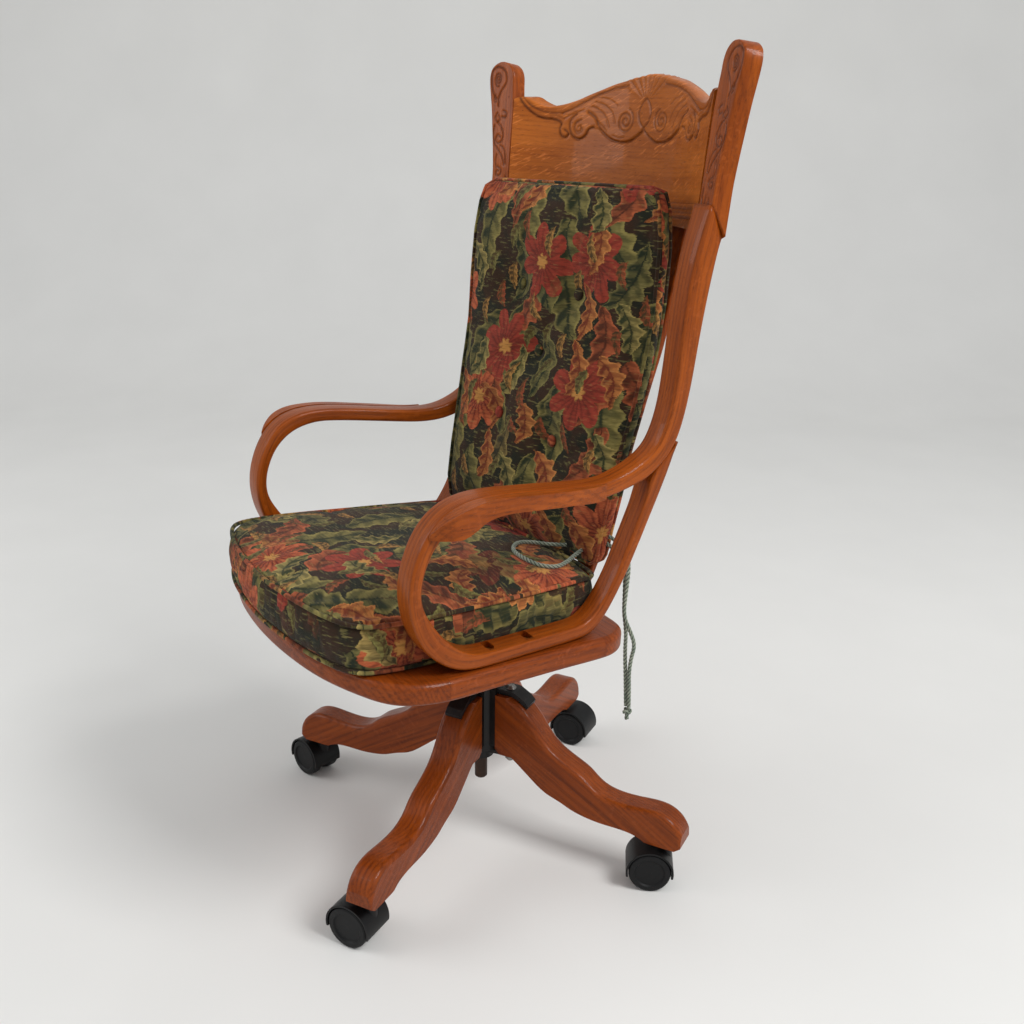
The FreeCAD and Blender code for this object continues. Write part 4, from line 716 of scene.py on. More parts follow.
CREST_FOOT = 909.5
CREST_FRONT_Y = 248.0
CREST_RADIUS = 343.0
CREST_THICK = 20.0
LEAN = math.radians(6.0)
TOE = math.radians(14.5)
STILE_FOOT = (232.0, 166.5, 905.0)
CREST_TOP = [(0, 1103), (10, 1101.5), (30, 1099), (50, 1096), (70, 1092), (90, 1086), (110, 1079.5),
             (130, 1072), (150, 1066.4), (165, 1064.2), (177, 1064.5), (190, 1070), (200, 1076),
             (211, 1077), (228, 1070)]
CREST_CUTS = [
    ([(231, 171), (225, 157), (207, 141), (187, 133), (167, 132), (155, 127), (157, 119),
      (153, 110), (145, 108), (142, 114), (148, 118)], 1.5, 1.8),
    ([(224, 168), (218, 157), (203, 147), (181, 141), (154, 141)], 1.0, 1.5),
    ([(154, 141), (135, 149), (112.5, 160), (88, 170), (62, 176.5), (40, 180)], 1.2, 1.6),
    ([(130, 141), (139.5, 132), (140, 121), (133, 110), (122, 106.5), (112.5, 111),
      (106.5, 121), (98, 124)], 1.5, 1.8),
    ([(121, 133), (130, 129), (132, 120), (125, 114), (118, 118), (121, 124)], 1.0, 1.4),
    ([(110, 144), (97, 137), (85, 121), (68, 110), (48, 105), (28, 106), (13, 113), (4, 119),
      (0, 124)], 1.6, 1.9),
    ([(104, 152), (88, 146), (76, 136), (70, 124)], 0.8, 1.3),
    ([(98, 158), (80, 153), (66, 143), (60, 131)], 0.8, 1.3),
    ([(88, 164), (72, 161), (58, 154)], 0.7, 1.2),
    ([(93, 133), (82, 125), (73, 118)], 0.7, 1.2),
    ([(60, 113), (50, 110), (38, 111)], 0.7, 1.2),
    ([(0, 124), (9, 132), (13, 144), (8, 156), (0, 163)], 1.2, 1.6),
    ([(150, 134), (135, 141), (118, 147)], 0.7, 1.2),
    ([(175, 137), (163, 137), (150, 133)], 0.6, 1.1)]
CREST_FIELD = [(231, 171), (225, 157), (207, 141), (187, 133), (167, 132), (155, 127), (157, 119),
               (153, 110), (145, 108), (141, 113), (133, 110), (122, 106.5), (112.5, 111),
               (106, 120), (98, 123), (85, 121), (68, 110), (48, 105), (28, 106), (13, 113),
               (0, 121)]
CREST_SPIRALS = [((39.0, 133.0), 17.0, 2.1, 110, 1, 1.1, 1.5),
                 ((124.0, 122.0), 8.0, 1.2, 80, -1, 0.9, 1.3)]
FAN_FOOT = 156.0
FAN_PITCH = 17.0
ROPE_HEIGHTS = (12.0, 24.0)
CREST_EDGE = 4.0
STILE_CLEARANCE = 18.8


def crest_relief(s, z):
    """Height of the carving over the crest's face in mm, and how deep it is cut."""
    s = np.abs(s)
    relief = np.zeros(s.shape)
    field = smooth_line(CREST_FIELD, 6)
    rim = np.vstack([field, [(0, 260), (260, 260), (260, 171)]])
    sign = np.where(inside(rim, s, z), 1.0, -1.0)
    relief += 1.5 * eased(sign * away_from(field, s, z), -0.6, 2.2)
    cut = np.zeros(s.shape)

    def carve(line, deep, wide):
        near = np.exp(-(away_from(line, s, z) / wide) ** 2)
        relief[...] -= deep * near
        cut[...] = np.maximum(cut, near * min(1.0, deep / 1.3))

    for points, deep, wide in CREST_CUTS:
        carve(smooth_line(points, 6), deep, wide)
    for centre, radius, turns, start, hand, deep, wide in CREST_SPIRALS:
        carve(spiral(centre, radius, turns, math.radians(start), 1.0, hand), deep, wide)
    up = z - FAN_FOOT
    reach = np.hypot(s, up)
    angle = np.degrees(np.arctan2(s, up))
    fan = eased(reach, 7.0, 13.0) * eased(-angle, -66.0, -60.0) * eased(-reach, -52.0, -44.0)
    flute = np.abs(np.sin(np.radians(angle * 180.0 / FAN_PITCH)))
    relief += fan * (1.3 * flute - 0.7)
    cut = np.maximum(cut, fan * (1.0 - eased(flute, 0.0, 0.35)) * 0.8)
    steps = eased(s, 186.0, 192.0) * eased(z, 146.0, 150.0)
    ridge = np.sin((s * 0.8 - (z - 150.0) * 0.5) * 0.55)
    relief += steps * 0.5 * ridge
    for height in ROPE_HEIGHTS:
        rope = np.exp(-((z - height) / 2.3) ** 2) * eased(s, 84.0, 92.0)
        twist = np.abs(np.sin((s * 1.0 + (z - height) * 1.2) * 0.62))
        relief += rope * (0.5 + 1.0 * twist)
        edges = np.exp(-((np.abs(z - height) - 3.6) / 0.8) ** 2) * eased(s, 84.0, 92.0)
        relief -= 0.7 * edges
        cut = np.maximum(cut, 0.7 * edges)
    return relief, cut


def crest_point(s, row, radius, top_x, top_z):
    """World place of crest points at an arc distance and a share of the height."""
    angle = s / CREST_RADIUS
    x = radius * np.sin(angle)
    y = radius * np.cos(angle) - CREST_RADIUS
    top = np.interp(np.abs(x), top_x, top_z)
    top = top + 1.3 * np.abs(np.sin(x * math.pi / 13.0)) * eased(-np.abs(x), -48.0, -40.0)
    low = y * math.sin(LEAN) / math.cos(LEAN)
    high = (top - CREST_FOOT + y * math.sin(LEAN)) / math.cos(LEAN)
    z = low + (high - low) * row
    return x, y, z


def crest_world(x, y, z):
    """Leans the crest back about the foot of its middle."""
    back = y * math.cos(LEAN) + z * math.sin(LEAN) + CREST_FRONT_Y
    high = z * math.cos(LEAN) - y * math.sin(LEAN) + CREST_FOOT
    return x, back, high


def crest_limit(row, radius, top_x, top_z, clear):
    """Arc distance where the crest meets the near stile's inner face."""
    low, high = np.full(row.shape, 150.0), np.full(row.shape, 300.0)
    across = np.array([math.cos(TOE), -math.sin(TOE)])
    for _ in range(26):
        s = (low + high) * 0.5
        x, y, _z = crest_world(*crest_point(s, row, radius, top_x, top_z))
        gone = (x - STILE_FOOT[0]) * across[0] + (y - STILE_FOOT[1]) * across[1] > -clear
        high = np.where(gone, s, high)
        low = np.where(gone, low, s)
    return low


def carved_crest():
    """The curved plank with its carving in the front face."""
    top = smooth_line(CREST_TOP, 8)
    top_x, top_z = top[:, 0], top[:, 1]
    rows, columns = 158, 372
    sheets = []
    for radius in (CREST_RADIUS, CREST_RADIUS + CREST_THICK):
        row = np.repeat(np.linspace(0.0, 1.0, rows)[:, None], columns, axis=1)
        share = np.repeat(np.linspace(-1.0, 1.0, columns)[None, :], rows, axis=0)
        reach = crest_limit(row[:, 0], radius, top_x, top_z, STILE_CLEARANCE)
        s = share * reach[:, None]
        x, y, z = crest_point(s, row, radius, top_x, top_z)
        sheets.append((s, x, y, z))
    s, x, y, z = sheets[0]
    relief, cut = crest_relief(s, z)
    edge = np.minimum(z[-1][None, :] - z, CREST_EDGE)
    relief = relief * eased(edge, 0.0, 3.0) - 3.2 * rolled(edge / CREST_EDGE)
    angle = s / CREST_RADIUS
    front = np.stack(crest_world(x - relief * np.sin(angle), y - relief * np.cos(angle), z),
                     axis=-1)
    sb, xb, yb, zb = sheets[1]
    inward = 3.0 * rolled(np.minimum(zb[-1][None, :] - zb, CREST_EDGE) / CREST_EDGE)
    angle = sb / CREST_RADIUS
    rear = np.stack(crest_world(xb - inward * np.sin(angle), yb - inward * np.cos(angle), zb),
                    axis=-1)
    vertices = np.concatenate([front.reshape(-1, 3), rear.reshape(-1, 3)]) * MM
    half = rows * columns
    faces = grid_faces(rows, columns) + grid_faces(rows, columns, half, flip=True)
    bottom = list(range(columns))
    upper = list(range((rows - 1) * columns, half))
    left = list(range(0, half, columns))
    right = list(range(columns - 1, half, columns))
    for line in (bottom, upper[::-1], left[::-1], right):
        faces += strip_faces(line, [index + half for index in line])
    crest = add_piece("carved_crest_rail", vertices, faces, "seat", carved_oak)
    flat = np.stack([s, z, np.zeros(s.shape)], axis=-1).reshape(-1, 3)
    deep = np.stack([sb, zb, np.full(sb.shape, CREST_THICK)], axis=-1).reshape(-1, 3)
    grain_attribute(crest, np.concatenate([flat, deep]) * MM)
    # The cut depth is kept for the oak's painted shade in the carved grooves.
    value_attribute(crest, "cut", np.concatenate([cut.ravel(), np.zeros(half)]))
    crest.data.set_sharp_from_angle(angle=math.radians(50))
    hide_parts("crest_rail")


carved_crest()


# Carved stiles: outline and strokes as (outwards across the face, up it from the foot)

STILE_OUTLINE = [(18, -12), (17.8, 0), (17.4, 35), (17.4, 65), (20.4, 95), (24.5, 125),
                 (28.9, 155), (33, 175), (36, 190), (37, 203), (34, 213), (26, 219.5), (14, 223),
                 (2, 221), (-8, 214), (-13, 204), (-14.5, 190), (-16.5, 172), (-18, 155),
                 (-18, 100), (-18, 50), (-18, 0), (-18, -12)]
STILE_THICK = 24.0
STILE_CUTS = [
    ([(14, 160), (15, 170), (9, 183), (1, 194), (3, 206), (12, 214), (24, 215), (32, 208),
      (32, 195), (28, 182), (21, 170)], 1.2, 1.5),
    ([(3, 153), (-4, 149), (-2, 143), (5, 144)], 1.0, 1.4),
    ([(15, 150), (19, 143), (14, 137), (9, 141), (12, 146)], 1.0, 1.4),
    ([(14, 137), (5, 129), (0, 119), (3, 109), (11, 106), (15, 112), (11, 118), (6, 115)],
     1.1, 1.4),
    ([(19, 132), (21, 121), (17, 107), (8, 96), (-1, 86), (-6, 75)], 1.0, 1.4),
    ([(4, 103), (-4, 97), (-8, 86), (-9, 76)], 0.9, 1.3),
    ([(7, 72), (-1, 67), (1, 60), (8, 59), (9, 65), (4, 66)], 1.1, 1.4),
    ([(-11, 58), (-12, 46), (-9, 32), (-6, 18), (-9, 8), (-2, 4), (3, 9), (0, 18), (5, 32),
      (5, 46)], 1.1, 1.4),
    ([(-3, 50), (-4, 36), (-2, 22)], 0.8, 1.3),
    ([(10, 90), (12, 80), (9, 70)], 0.8, 1.2)]
STILE_SPIRALS = [((18.0, 198.0), 10.0, 2.2, -100, 0.72, 1, 1.1, 1.35),
                 ((20.5, 170.0), 6.5, 1.3, 60, 0.6, -1, 0.9, 1.25)]
SCARF_RUN = np.array([0.0, 40.0, 21.0])
SCARF_FOOT = np.array([0.0, 187.0, 905.0])
SCARF_GAP = 0.35


def stile_relief(u, v):
    """Height of the carving over the stile's face in mm, and how deep it is cut."""
    relief, cut = np.zeros(u.shape), np.zeros(u.shape)
    lines = [(smooth_line(points, 6), deep, wide) for points, deep, wide in STILE_CUTS]
    for centre, radius, turns, start, squeeze, hand, deep, wide in STILE_SPIRALS:
        lines.append((spiral(centre, radius, turns, math.radians(start), squeeze, hand),
                      deep, wide))
    for line, deep, wide in lines:
        near = np.exp(-(away_from(line, u, v) / wide) ** 2)
        relief -= deep * near
        cut = np.maximum(cut, near * min(1.0, deep))
    return relief, cut


def carved_stile(side, side_name):
    """The end post over the arm's scarf joint, carved on its front face."""
    outline = smooth_line(STILE_OUTLINE, 10)
    peak = int(np.argmax(outline[:, 1]))
    outer, inner = outline[:peak + 1], outline[peak:][::-1]
    across = np.array([math.cos(TOE), -side * math.sin(TOE), 0.0])
    back = np.array([side * math.sin(TOE), math.cos(TOE), 0.0])
    up = np.array([0.0, 0.0, 1.0]) + back * math.tan(LEAN)
    up /= np.linalg.norm(up)
    out = np.cross(across, up)
    foot = np.array([side * STILE_FOOT[0], STILE_FOOT[1], STILE_FOOT[2]])
    square = SCARF_RUN / math.hypot(SCARF_RUN[1], SCARF_RUN[2])
    base = SCARF_FOOT + square * SCARF_GAP
    rows, columns = 190, 58
    row = np.repeat((1.0 - (1.0 - np.linspace(0.0, 1.0, rows)) ** 1.7)[:, None], columns, axis=1)
    share = np.repeat(np.linspace(0.0, 1.0, columns)[None, :], rows, axis=0)
    crown = outline[peak, 1]
    sheets = []
    for w in (0.0, -STILE_THICK):
        u, v = np.zeros(row.shape), row * crown
        for _ in range(8):
            rim_in = np.interp(v, inner[:, 1], inner[:, 0])
            rim_out = np.interp(v, outer[:, 1], outer[:, 0])
            u = rim_in + (rim_out - rim_in) * share
            here = foot + (side * u)[..., None] * across + w * out
            low = ((base - here) @ square) / float(up @ square)
            v = low + (crown - low) * row
        sheets.append((u, v, rim_in, rim_out))
    u, v, rim_in, rim_out = sheets[0]
    relief, cut = stile_relief(u, v)
    edge = np.clip(np.minimum(np.minimum(u - rim_in, rim_out - u), (crown - v) * 1.2) / 3.0,
                   0.0, 1.0)
    relief = relief * edge - 2.4 * rolled(edge)
    places = []
    for (u, v, _a, _b), w in zip(sheets, (relief, np.full(u.shape, -STILE_THICK))):
        places.append(foot + (side * u)[..., None] * across + v[..., None] * up
                      + w[..., None] * out)
    vertices = np.concatenate([place.reshape(-1, 3) for place in places]) * MM
    half = rows * columns
    flip = side < 0
    faces = grid_faces(rows, columns, flip=flip) + grid_faces(rows, columns, half, flip=not flip)

    loop = (list(range(columns)) + list(range(2 * columns - 1, half, columns))
            + list(range(half - 2, half - columns - 1, -1))
            + list(range(half - 2 * columns, -1, -columns)))
    faces += strip_faces(loop, [index + half for index in loop], flip)
    stile = add_piece("carved_%s_stile" % side_name, vertices, faces, "seat", stile_oak)
    grain = []
    for (u, v, _a, _b), w in zip(sheets, (0.0, STILE_THICK)):
        grain.append(np.stack([v, u + 60.0 * side, np.full(u.shape, w)], axis=-1).reshape(-1, 3))
    grain_attribute(stile, np.concatenate(grain) * MM)
    # The cut depth is kept for the oak's painted shade in the carved grooves.
    value_attribute(stile, "cut", np.concatenate([cut.ravel(), np.zeros(half)]))
    stile.data.set_sharp_from_angle(angle=math.radians(50))
    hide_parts(side_name + "_stile")


for stile_side, stile_name in ((1, "left"), (-1, "right")):
    carved_stile(stile_side, stile_name)


# Ties: routes through the air as control points, from the cushion's corner outwards

TIE_RADIUS = 2.6
TIE_STRAIGHT = [(152, 106, 498), (172, 112, 490), (188, 112, 469), (195, 107, 440),
                (198, 105, 412), (201, 108, 385), (198, 110, 355), (201, 110, 325),
                (200, 113, 296), (201, 114, 270)]
TIE_LOOPED = [(152, 108, 508), (176, 118, 501), (194, 114, 480), (202, 104, 448), (205, 98, 412),
              (212, 107, 388), (215, 113, 368), (208, 113, 346), (207.5, 111, 322),
              (206.5, 114, 296), (207.5, 114, 270)]
TIE_BOW = [(98, 79, 483), (82, 60, 482), (68, 38, 486), (72, 10, 491), (96, -10, 492),
           (126, -14, 492), (152, -3, 487), (160, 20, 483), (148, 45, 482), (132, 68, 481),
           (124, 89, 484)]
KNOT_MIDDLE = (204.0, 114.0, 262.8)


def followed(route):
    """Points along the smooth line that a route's control points give."""
    curve = bpy.data.curves.new("route", "CURVE")
    curve.dimensions = "3D"
    curve.resolution_u = 16
    spline = curve.splines.new("NURBS")
    spline.points.add(len(route) - 1)
    for point, (x, y, z) in zip(spline.points, route):
        point.co = (x * MM, y * MM, z * MM, 1.0)
    spline.order_u = 3
    spline.use_endpoint_u = True
    holder = placed("route", curve)
    points = coordinates(evaluated(holder))
    bpy.data.objects.remove(holder)
    return points


# Cushions: the seat's plan as (x, y), and rows as (inset from the plan, height over the seat)

CLOTH_VOXEL = 0.0055
CLOTH_FRAMES = 20


def remeshed(name, vertices, faces):
    """An even all-quad skin over a closed form."""
    mesh = mesh_from(name, vertices, faces)
    mesh.validate()
    form = placed(name, mesh)
    skin = form.modifiers.new("skin", "REMESH")
    skin.mode = "VOXEL"
    skin.voxel_size = CLOTH_VOXEL
    even = form.modifiers.new("even", "SMOOTH")
    even.factor = 0.5
    even.iterations = 2
    result = evaluated(form)
    bpy.data.objects.remove(form)
    return placed(name, result)


def puffed(form, pinned, spare, cap):
    """Swells the fabric between its seams as cloth under pressure, by no more than the cap."""
    rest = coordinates(form.data)
    group = form.vertex_groups.new(name="sewn")
    for index, weight in enumerate(pinned):
        if weight > 0.0:
            group.add([index], float(weight), "REPLACE")
    cloth = form.modifiers.new("cloth", "CLOTH")
    settings = cloth.settings
    settings.quality = 5
    settings.mass = 0.3
    settings.tension_stiffness = 18.0
    settings.compression_stiffness = 18.0
    settings.bending_stiffness = 0.6
    settings.use_pressure = True
    settings.uniform_pressure_force = 4.0
    settings.effector_weights.gravity = 0.0
    settings.vertex_group_mass = "sewn"
    settings.shrink_min = -spare
    cloth.point_cache.frame_start = 1
    cloth.point_cache.frame_end = CLOTH_FRAMES
    for frame_number in range(1, CLOTH_FRAMES + 1):
        scene.frame_set(frame_number)
    graph = bpy.context.evaluated_depsgraph_get()
    swollen = form.evaluated_get(graph).to_mesh()
    moved = coordinates(swollen) - rest
    form.evaluated_get(graph).to_mesh_clear()
    reach = np.linalg.norm(moved, axis=1)
    share = cap * np.tanh(reach / cap) / np.maximum(reach, 1e-9)
    form.modifiers.clear()
    form.vertex_groups.clear()
    move_to(form.data, rest + moved * share[:, None])
    scene.frame_set(1)


def pressed_under(form, line, radius):
    """Presses a cushion's top down just enough for a cord that lies on it."""
    around, slope = 0.03, 3.2
    points = coordinates(form.data)
    tree = tree_of([(x, y, 0.0) for x, y, _z in line])
    middle = points[:, 2].mean()
    for index, (x, y, z) in enumerate(points):
        if z < middle:
            continue
        _place, nearest, away = tree.find((x, y, 0.0))
        if away < around:
            room = line[nearest][2] - radius + slope * max(away - radius, 0.0) ** 2 / around
            points[index, 2] = min(z, room)
    move_to(form.data, points)


def near_lines(points, lines, radius):
    """1 near any of the lines and 0 further off than the radius."""
    tree = tree_of([point for line in lines for point in line])
    near = np.array([tree.find(Vector(point))[2] for point in points])
    return (near < radius).astype(float)


def lay_cloth(mesh, panel_of, place_of):
    """Gives every face its panel's own run of cloth, in metres, as its place in the weave."""
    layer = mesh.uv_layers.new(name="cloth")
    points = coordinates(mesh)
    for face in mesh.polygons:
        middle = points[list(face.vertices)].mean(axis=0)
        panel = panel_of(middle)
        runs = [place_of(panel, points[vertex], middle) for vertex in face.vertices]
        for loop, run in zip(face.loop_indices, runs):
            layer.data[loop].uv = run


def project_cloth(piece, up):
    """Lays the weave straight over a small piece, by its x and one other axis."""
    layer = piece.data.uv_layers.new(name="cloth")
    for face in piece.data.polygons:
        for loop, vertex in zip(face.loop_indices, face.vertices):
            point = piece.data.vertices[vertex].co
            layer.data[loop].uv = (point.x, point[up])


def finished_cushion(form, material, node, panel_of, place_of):
    """Covers a cushion's form in its cloth and hands it to the frame."""
    lay_cloth(form.data, panel_of, place_of)
    form.data.materials.clear()
    form.data.materials.append(material)
    form.data.shade_smooth()
    fine = form.modifiers.new("fine", "SUBSURF")
    fine.levels = fine.render_levels = 1
    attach(form, "seat")
    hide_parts(node)


def piping(name, line, radius, material, up):
    """A cord under fabric along a closed seam, a little pinched by its stitches."""
    line = np.array(line, float)
    count, around = len(line), 10
    travel = travelled(line)
    vertices = []
    for index in range(count):
        ahead = line[(index + 1) % count] - line[index - 1]
        ahead /= max(np.linalg.norm(ahead), 1e-9)
        side = np.cross(ahead, [0.12, 0.31, 0.94])
        side /= np.linalg.norm(side)
        above = np.cross(side, ahead)
        reach = radius * (1.0 + 0.05 * math.sin(travel[index] * 900.0))
        for step in range(around):
            angle = 2.0 * math.pi * step / around
            vertices.append(line[index] + reach
                            * (side * math.cos(angle) + above * math.sin(angle)))
    faces = grid_faces(count, around, closed=True)
    last = (count - 1) * around
    for step in range(around):
        beside = (step + 1) % around
        faces.append((last + step, last + beside, beside, step))
    project_cloth(add_piece(name, vertices, faces, "seat", material), up)


CUSHION_PLAN = [(-158, -313), (0, -333), (158, -313), (203, -290), (214, -250), (205, -105),
                (188, 34), (182, 55), (164, 63), (0, 68), (-164, 63), (-182, 55), (-188, 34),
                (-205, -105), (-214, -250), (-203, -290)]
SEAT_LIFT = 410.8
SEAT_TILT = math.radians(-3.0)
SEAT_ROWS = [(150, 0.4), (90, 0.4), (40, 0.4), (12, 1.0), (4, 3.0), (0.5, 7.5), (-2.5, 18), (-4, 32),
             (-3, 46), (-0.5, 56), (3, 62), (8, 64.5), (22, 67.5), (45, 70.5), (75, 73),
             (110, 74.5), (150, 75)]
SEAT_MIDDLE_Y = -125.0
SEAT_REACH = (214.0, 205.0)
SEAT_SEAMS = (62.0, 4.5)


def seat_place(x, y, z):
    """From the seat's tilted frame in mm to the chair's in metres."""
    back = y * math.cos(SEAT_TILT) - z * math.sin(SEAT_TILT)
    high = y * math.sin(SEAT_TILT) + z * math.cos(SEAT_TILT)
    return np.array([x, back, high + SEAT_LIFT]) * MM


def seat_height(point):
    """Height in mm over the seat's tilted top, of a place in metres."""
    return ((point[2] / MM - SEAT_LIFT) * math.cos(SEAT_TILT)
            - point[1] / MM * math.sin(SEAT_TILT))


def seat_ring(plan, inset, height):
    """The plan drawn in towards its middle, at a height over the seat."""
    x_share, y_share = (1.0 - inset / reach for reach in SEAT_REACH)
    return [seat_place(x * x_share, SEAT_MIDDLE_Y + (y - SEAT_MIDDLE_Y) * y_share, height)
            for x, y in plan]


def seat_cushion():
    """The boxed and piped loose cushion on the seat."""
    plan = smooth_line(CUSHION_PLAN, 11, closed=True)
    count = len(plan)
    vertices = []
    for inset, height in SEAT_ROWS:
        vertices += seat_ring(plan, inset, height)
    faces = grid_faces(len(SEAT_ROWS), count, closed=True) + end_faces(len(SEAT_ROWS), count)
    form = remeshed("seat_cushion_cover", vertices, faces)
    upper, lower = SEAT_SEAMS
    rest = coordinates(form.data)
    seams = [seat_ring(plan, 0.5, upper), seat_ring(plan, 0.5, lower)]
    pinned = np.maximum(near_lines(rest, seams, 0.0065), (seat_height(rest.T) < 3.0) * 1.0)
    puffed(form, pinned, 0.03, 0.007)
    pressed_under(form, followed(TIE_BOW), TIE_RADIUS * 1.1 * MM)
    along = travelled(plan)
    tree = tree_of([(x, y, 0.0) for x, y in plan])
    whole = along[-1]

    def panel_of(middle):
        high = seat_height(middle)
        if high > upper:
            return "top"
        return "under" if high < 4.0 else "side"

    def run_at(point):
        return along[tree.find((point[0] / MM, point[1] / MM, 0.0))[1]]

    def place_of(panel, point, middle):
        if panel == "top":
            return point[0], point[1]
        if panel == "under":
            return point[0] + 2.0, point[1]
        run, about = run_at(point), run_at(middle)
        if run - about > whole * 0.5:
            run -= whole
        if about - run > whole * 0.5:
            run += whole
        return run * MM + 0.6, point[2]

    finished_cushion(form, seat_cloth, "seat_cushion", panel_of, place_of)
    dense = smooth_line(CUSHION_PLAN, 22, closed=True)
    piping("seat_cushion_upper_piping", seat_ring(dense, -1.0, upper + 0.5), 0.0029, seat_cloth, 1)
    piping("seat_cushion_lower_piping", seat_ring(dense, -0.5, lower), 0.0027, seat_cloth, 1)


seat_cushion()

# Rows of the back cushion by height: the front seam's left and right ends as x and y, how far
# the faces swell, and the boxing's share of its full thickness
BACK_ROWS = [
    (463, -168, 72, 134, 93, 1, 0.35), (470, -181, 62, 147, 92, 5, 0.6),
    (482, -187, 56, 152, 91, 9, 0.85),
    (515, -189, 54, 154, 95, 15, 1.0), (570, -190, 62, 156, 108, 17, 1.0),
    (632, -191, 73, 158, 119, 17, 1.0), (678, -200, 86, 160, 133, 17, 1.0),
    (754, -214, 107, 161, 151, 17, 1.0), (814, -216, 112, 161, 160, 17, 1.0),
    (887, -216, 119, 161, 164, 16, 1.0), (930, -212, 126, 160, 162, 13, 0.95),
    (954, -205, 132, 155, 160, 8, 0.8), (961, -190, 139, 142, 162, 2, 0.3)]
BACK_BOXING = 20.0
TUFTS = [(-92, 819), (27, 816), (-34, 731), (-88, 633), (33, 615)]
TUFT_DEPTH = 13.0
TUFT_SPREAD = 23.0
TUFT_SEWN = 8.5


def back_row(z):
    """The row's figures at a height."""
    table = np.array(BACK_ROWS, float)
    return [float(np.interp(z, table[:, 0], table[:, column])) for column in range(1, 7)]


def back_frame(z):
    """The seam's two ends at a height, the ways along and behind them, swell and boxing."""
    xl, yl, xr, yr, swell, share = back_row(z)
    left, right = np.array([xl, yl]), np.array([xr, yr])
    run = (right - left) / np.linalg.norm(right - left)
    return left, right, run, np.array([-run[1], run[0]]), swell, BACK_BOXING * share


def back_front(x, z):
    """Depth of the swollen front face."""
    xl, yl, xr, yr, swell, _share = back_row(z)
    share = min(max((x - xl) / (xr - xl), 0.0), 1.0)
    return yl + (yr - yl) * share - swell * bow(share)


def back_seams():
    """The front seam and the rear seam, each a closed line round the cushion in metres."""
    dense = np.linspace(BACK_ROWS[1][0], BACK_ROWS[-2][0], 130)
    seam = []

    def along_end(row, shares, lift):
        z, xl, yl, xr, yr, swell, boxed = row
        for share in shares:
            seam.append((xl + (xr - xl) * share, yl + (yr - yl) * share - swell * bow(share),
                         z + lift, boxed))

    for z in dense:
        xl, yl, _xr, _yr, _swell, boxed = back_row(z)
        seam.append((xl, yl, z, boxed))
    along_end(BACK_ROWS[-1], np.linspace(0.0, 1.0, 90), -1.0)
    for z in dense[::-1]:
        _xl, _yl, xr, yr, _swell, boxed = back_row(z)
        seam.append((xr, yr, z, boxed))
    along_end(BACK_ROWS[0], np.linspace(1.0, 0.0, 90), 1.0)
    seams = []
    for depth in (0.0, BACK_BOXING):
        line = []
        for x, y, z, boxed in seam:
            behind = back_frame(z)[3] * depth * boxed
            line.append((x + behind[0], y + behind[1], z))
        seams.append(np.array(line) * MM)
    return seams


def back_cushion():
    """The boxed, piped and tufted cushion that leans on the slats."""
    heights = smooth_line([(row[0], 0.0) for row in BACK_ROWS], 5)[:, 0]
    across = 40
    sides = ((0.25, 3.0), (0.5, 4.0), (0.75, 3.0))
    vertices = []
    for z in heights:
        left, right, run, back, swell, boxing = back_frame(z)
        ring = []
        for step in range(across):
            share = step / (across - 1.0)
            ring.append(left + (right - left) * share - back * swell * bow(share))
        for depth, out in sides:
            ring.append(right + back * boxing * depth + run * out)
        for step in range(across):
            share = 1.0 - step / (across - 1.0)
            ring.append(left + (right - left) * share
                        + back * (boxing + swell * 0.12 * bow(share)))
        for depth, out in sides[::-1]:
            ring.append(left + back * boxing * depth - run * out)
        vertices += [(x * MM, y * MM, z * MM) for x, y in ring]
    around = len(ring)
    faces = grid_faces(len(heights), around, closed=True) + end_faces(len(heights), around)
    form = remeshed("back_cushion_cover", vertices, faces)
    rest = coordinates(form.data)
    tufted = np.zeros(len(rest))
    for x, z in TUFTS:
        away = np.hypot(rest[:, 0] / MM - x, rest[:, 2] / MM - z)
        front = rest[:, 1] / MM < back_front(x, z) + 9.0
        rest[:, 1] += MM * TUFT_DEPTH * np.exp(-(away / TUFT_SPREAD) ** 2) * front
        tufted = np.maximum(tufted, (away < TUFT_SEWN) * front)
    move_to(form.data, rest)
    seams = back_seams()
    pinned = np.maximum(near_lines(rest, seams, 0.006), tufted)
    puffed(form, pinned, 0.035, 0.011)

    def panel_of(middle):
        x, y, z = middle / MM
        xl, yl, xr, yr, _swell, share = back_row(z)
        boxing = BACK_BOXING * share
        if x < xl - 0.5 or x > xr + 0.5:
            return "side"
        flat = yl + (yr - yl) * (x - xl) / (xr - xl)
        if z > 957.0 or z < 469.0:
            return "end"
        return "front" if y < flat + boxing * 0.5 else "rear"

    def place_of(panel, point, middle):
        if panel == "front":
            return point[0], point[2]
        if panel == "rear":
            return point[0] + 3.0, point[2]
        if panel == "side":
            return point[1] + 1.0 + (0.5 if middle[0] > 0.0 else 0.0), point[2]
        return point[0], point[1] + 1.7

    finished_cushion(form, back_cloth, "back_cushion", panel_of, place_of)
    for line, which in zip(seams, ("front", "rear")):
        piping("back_cushion_%s_piping" % which, line[::2], 0.0025, back_cloth, 2)


back_cushion()


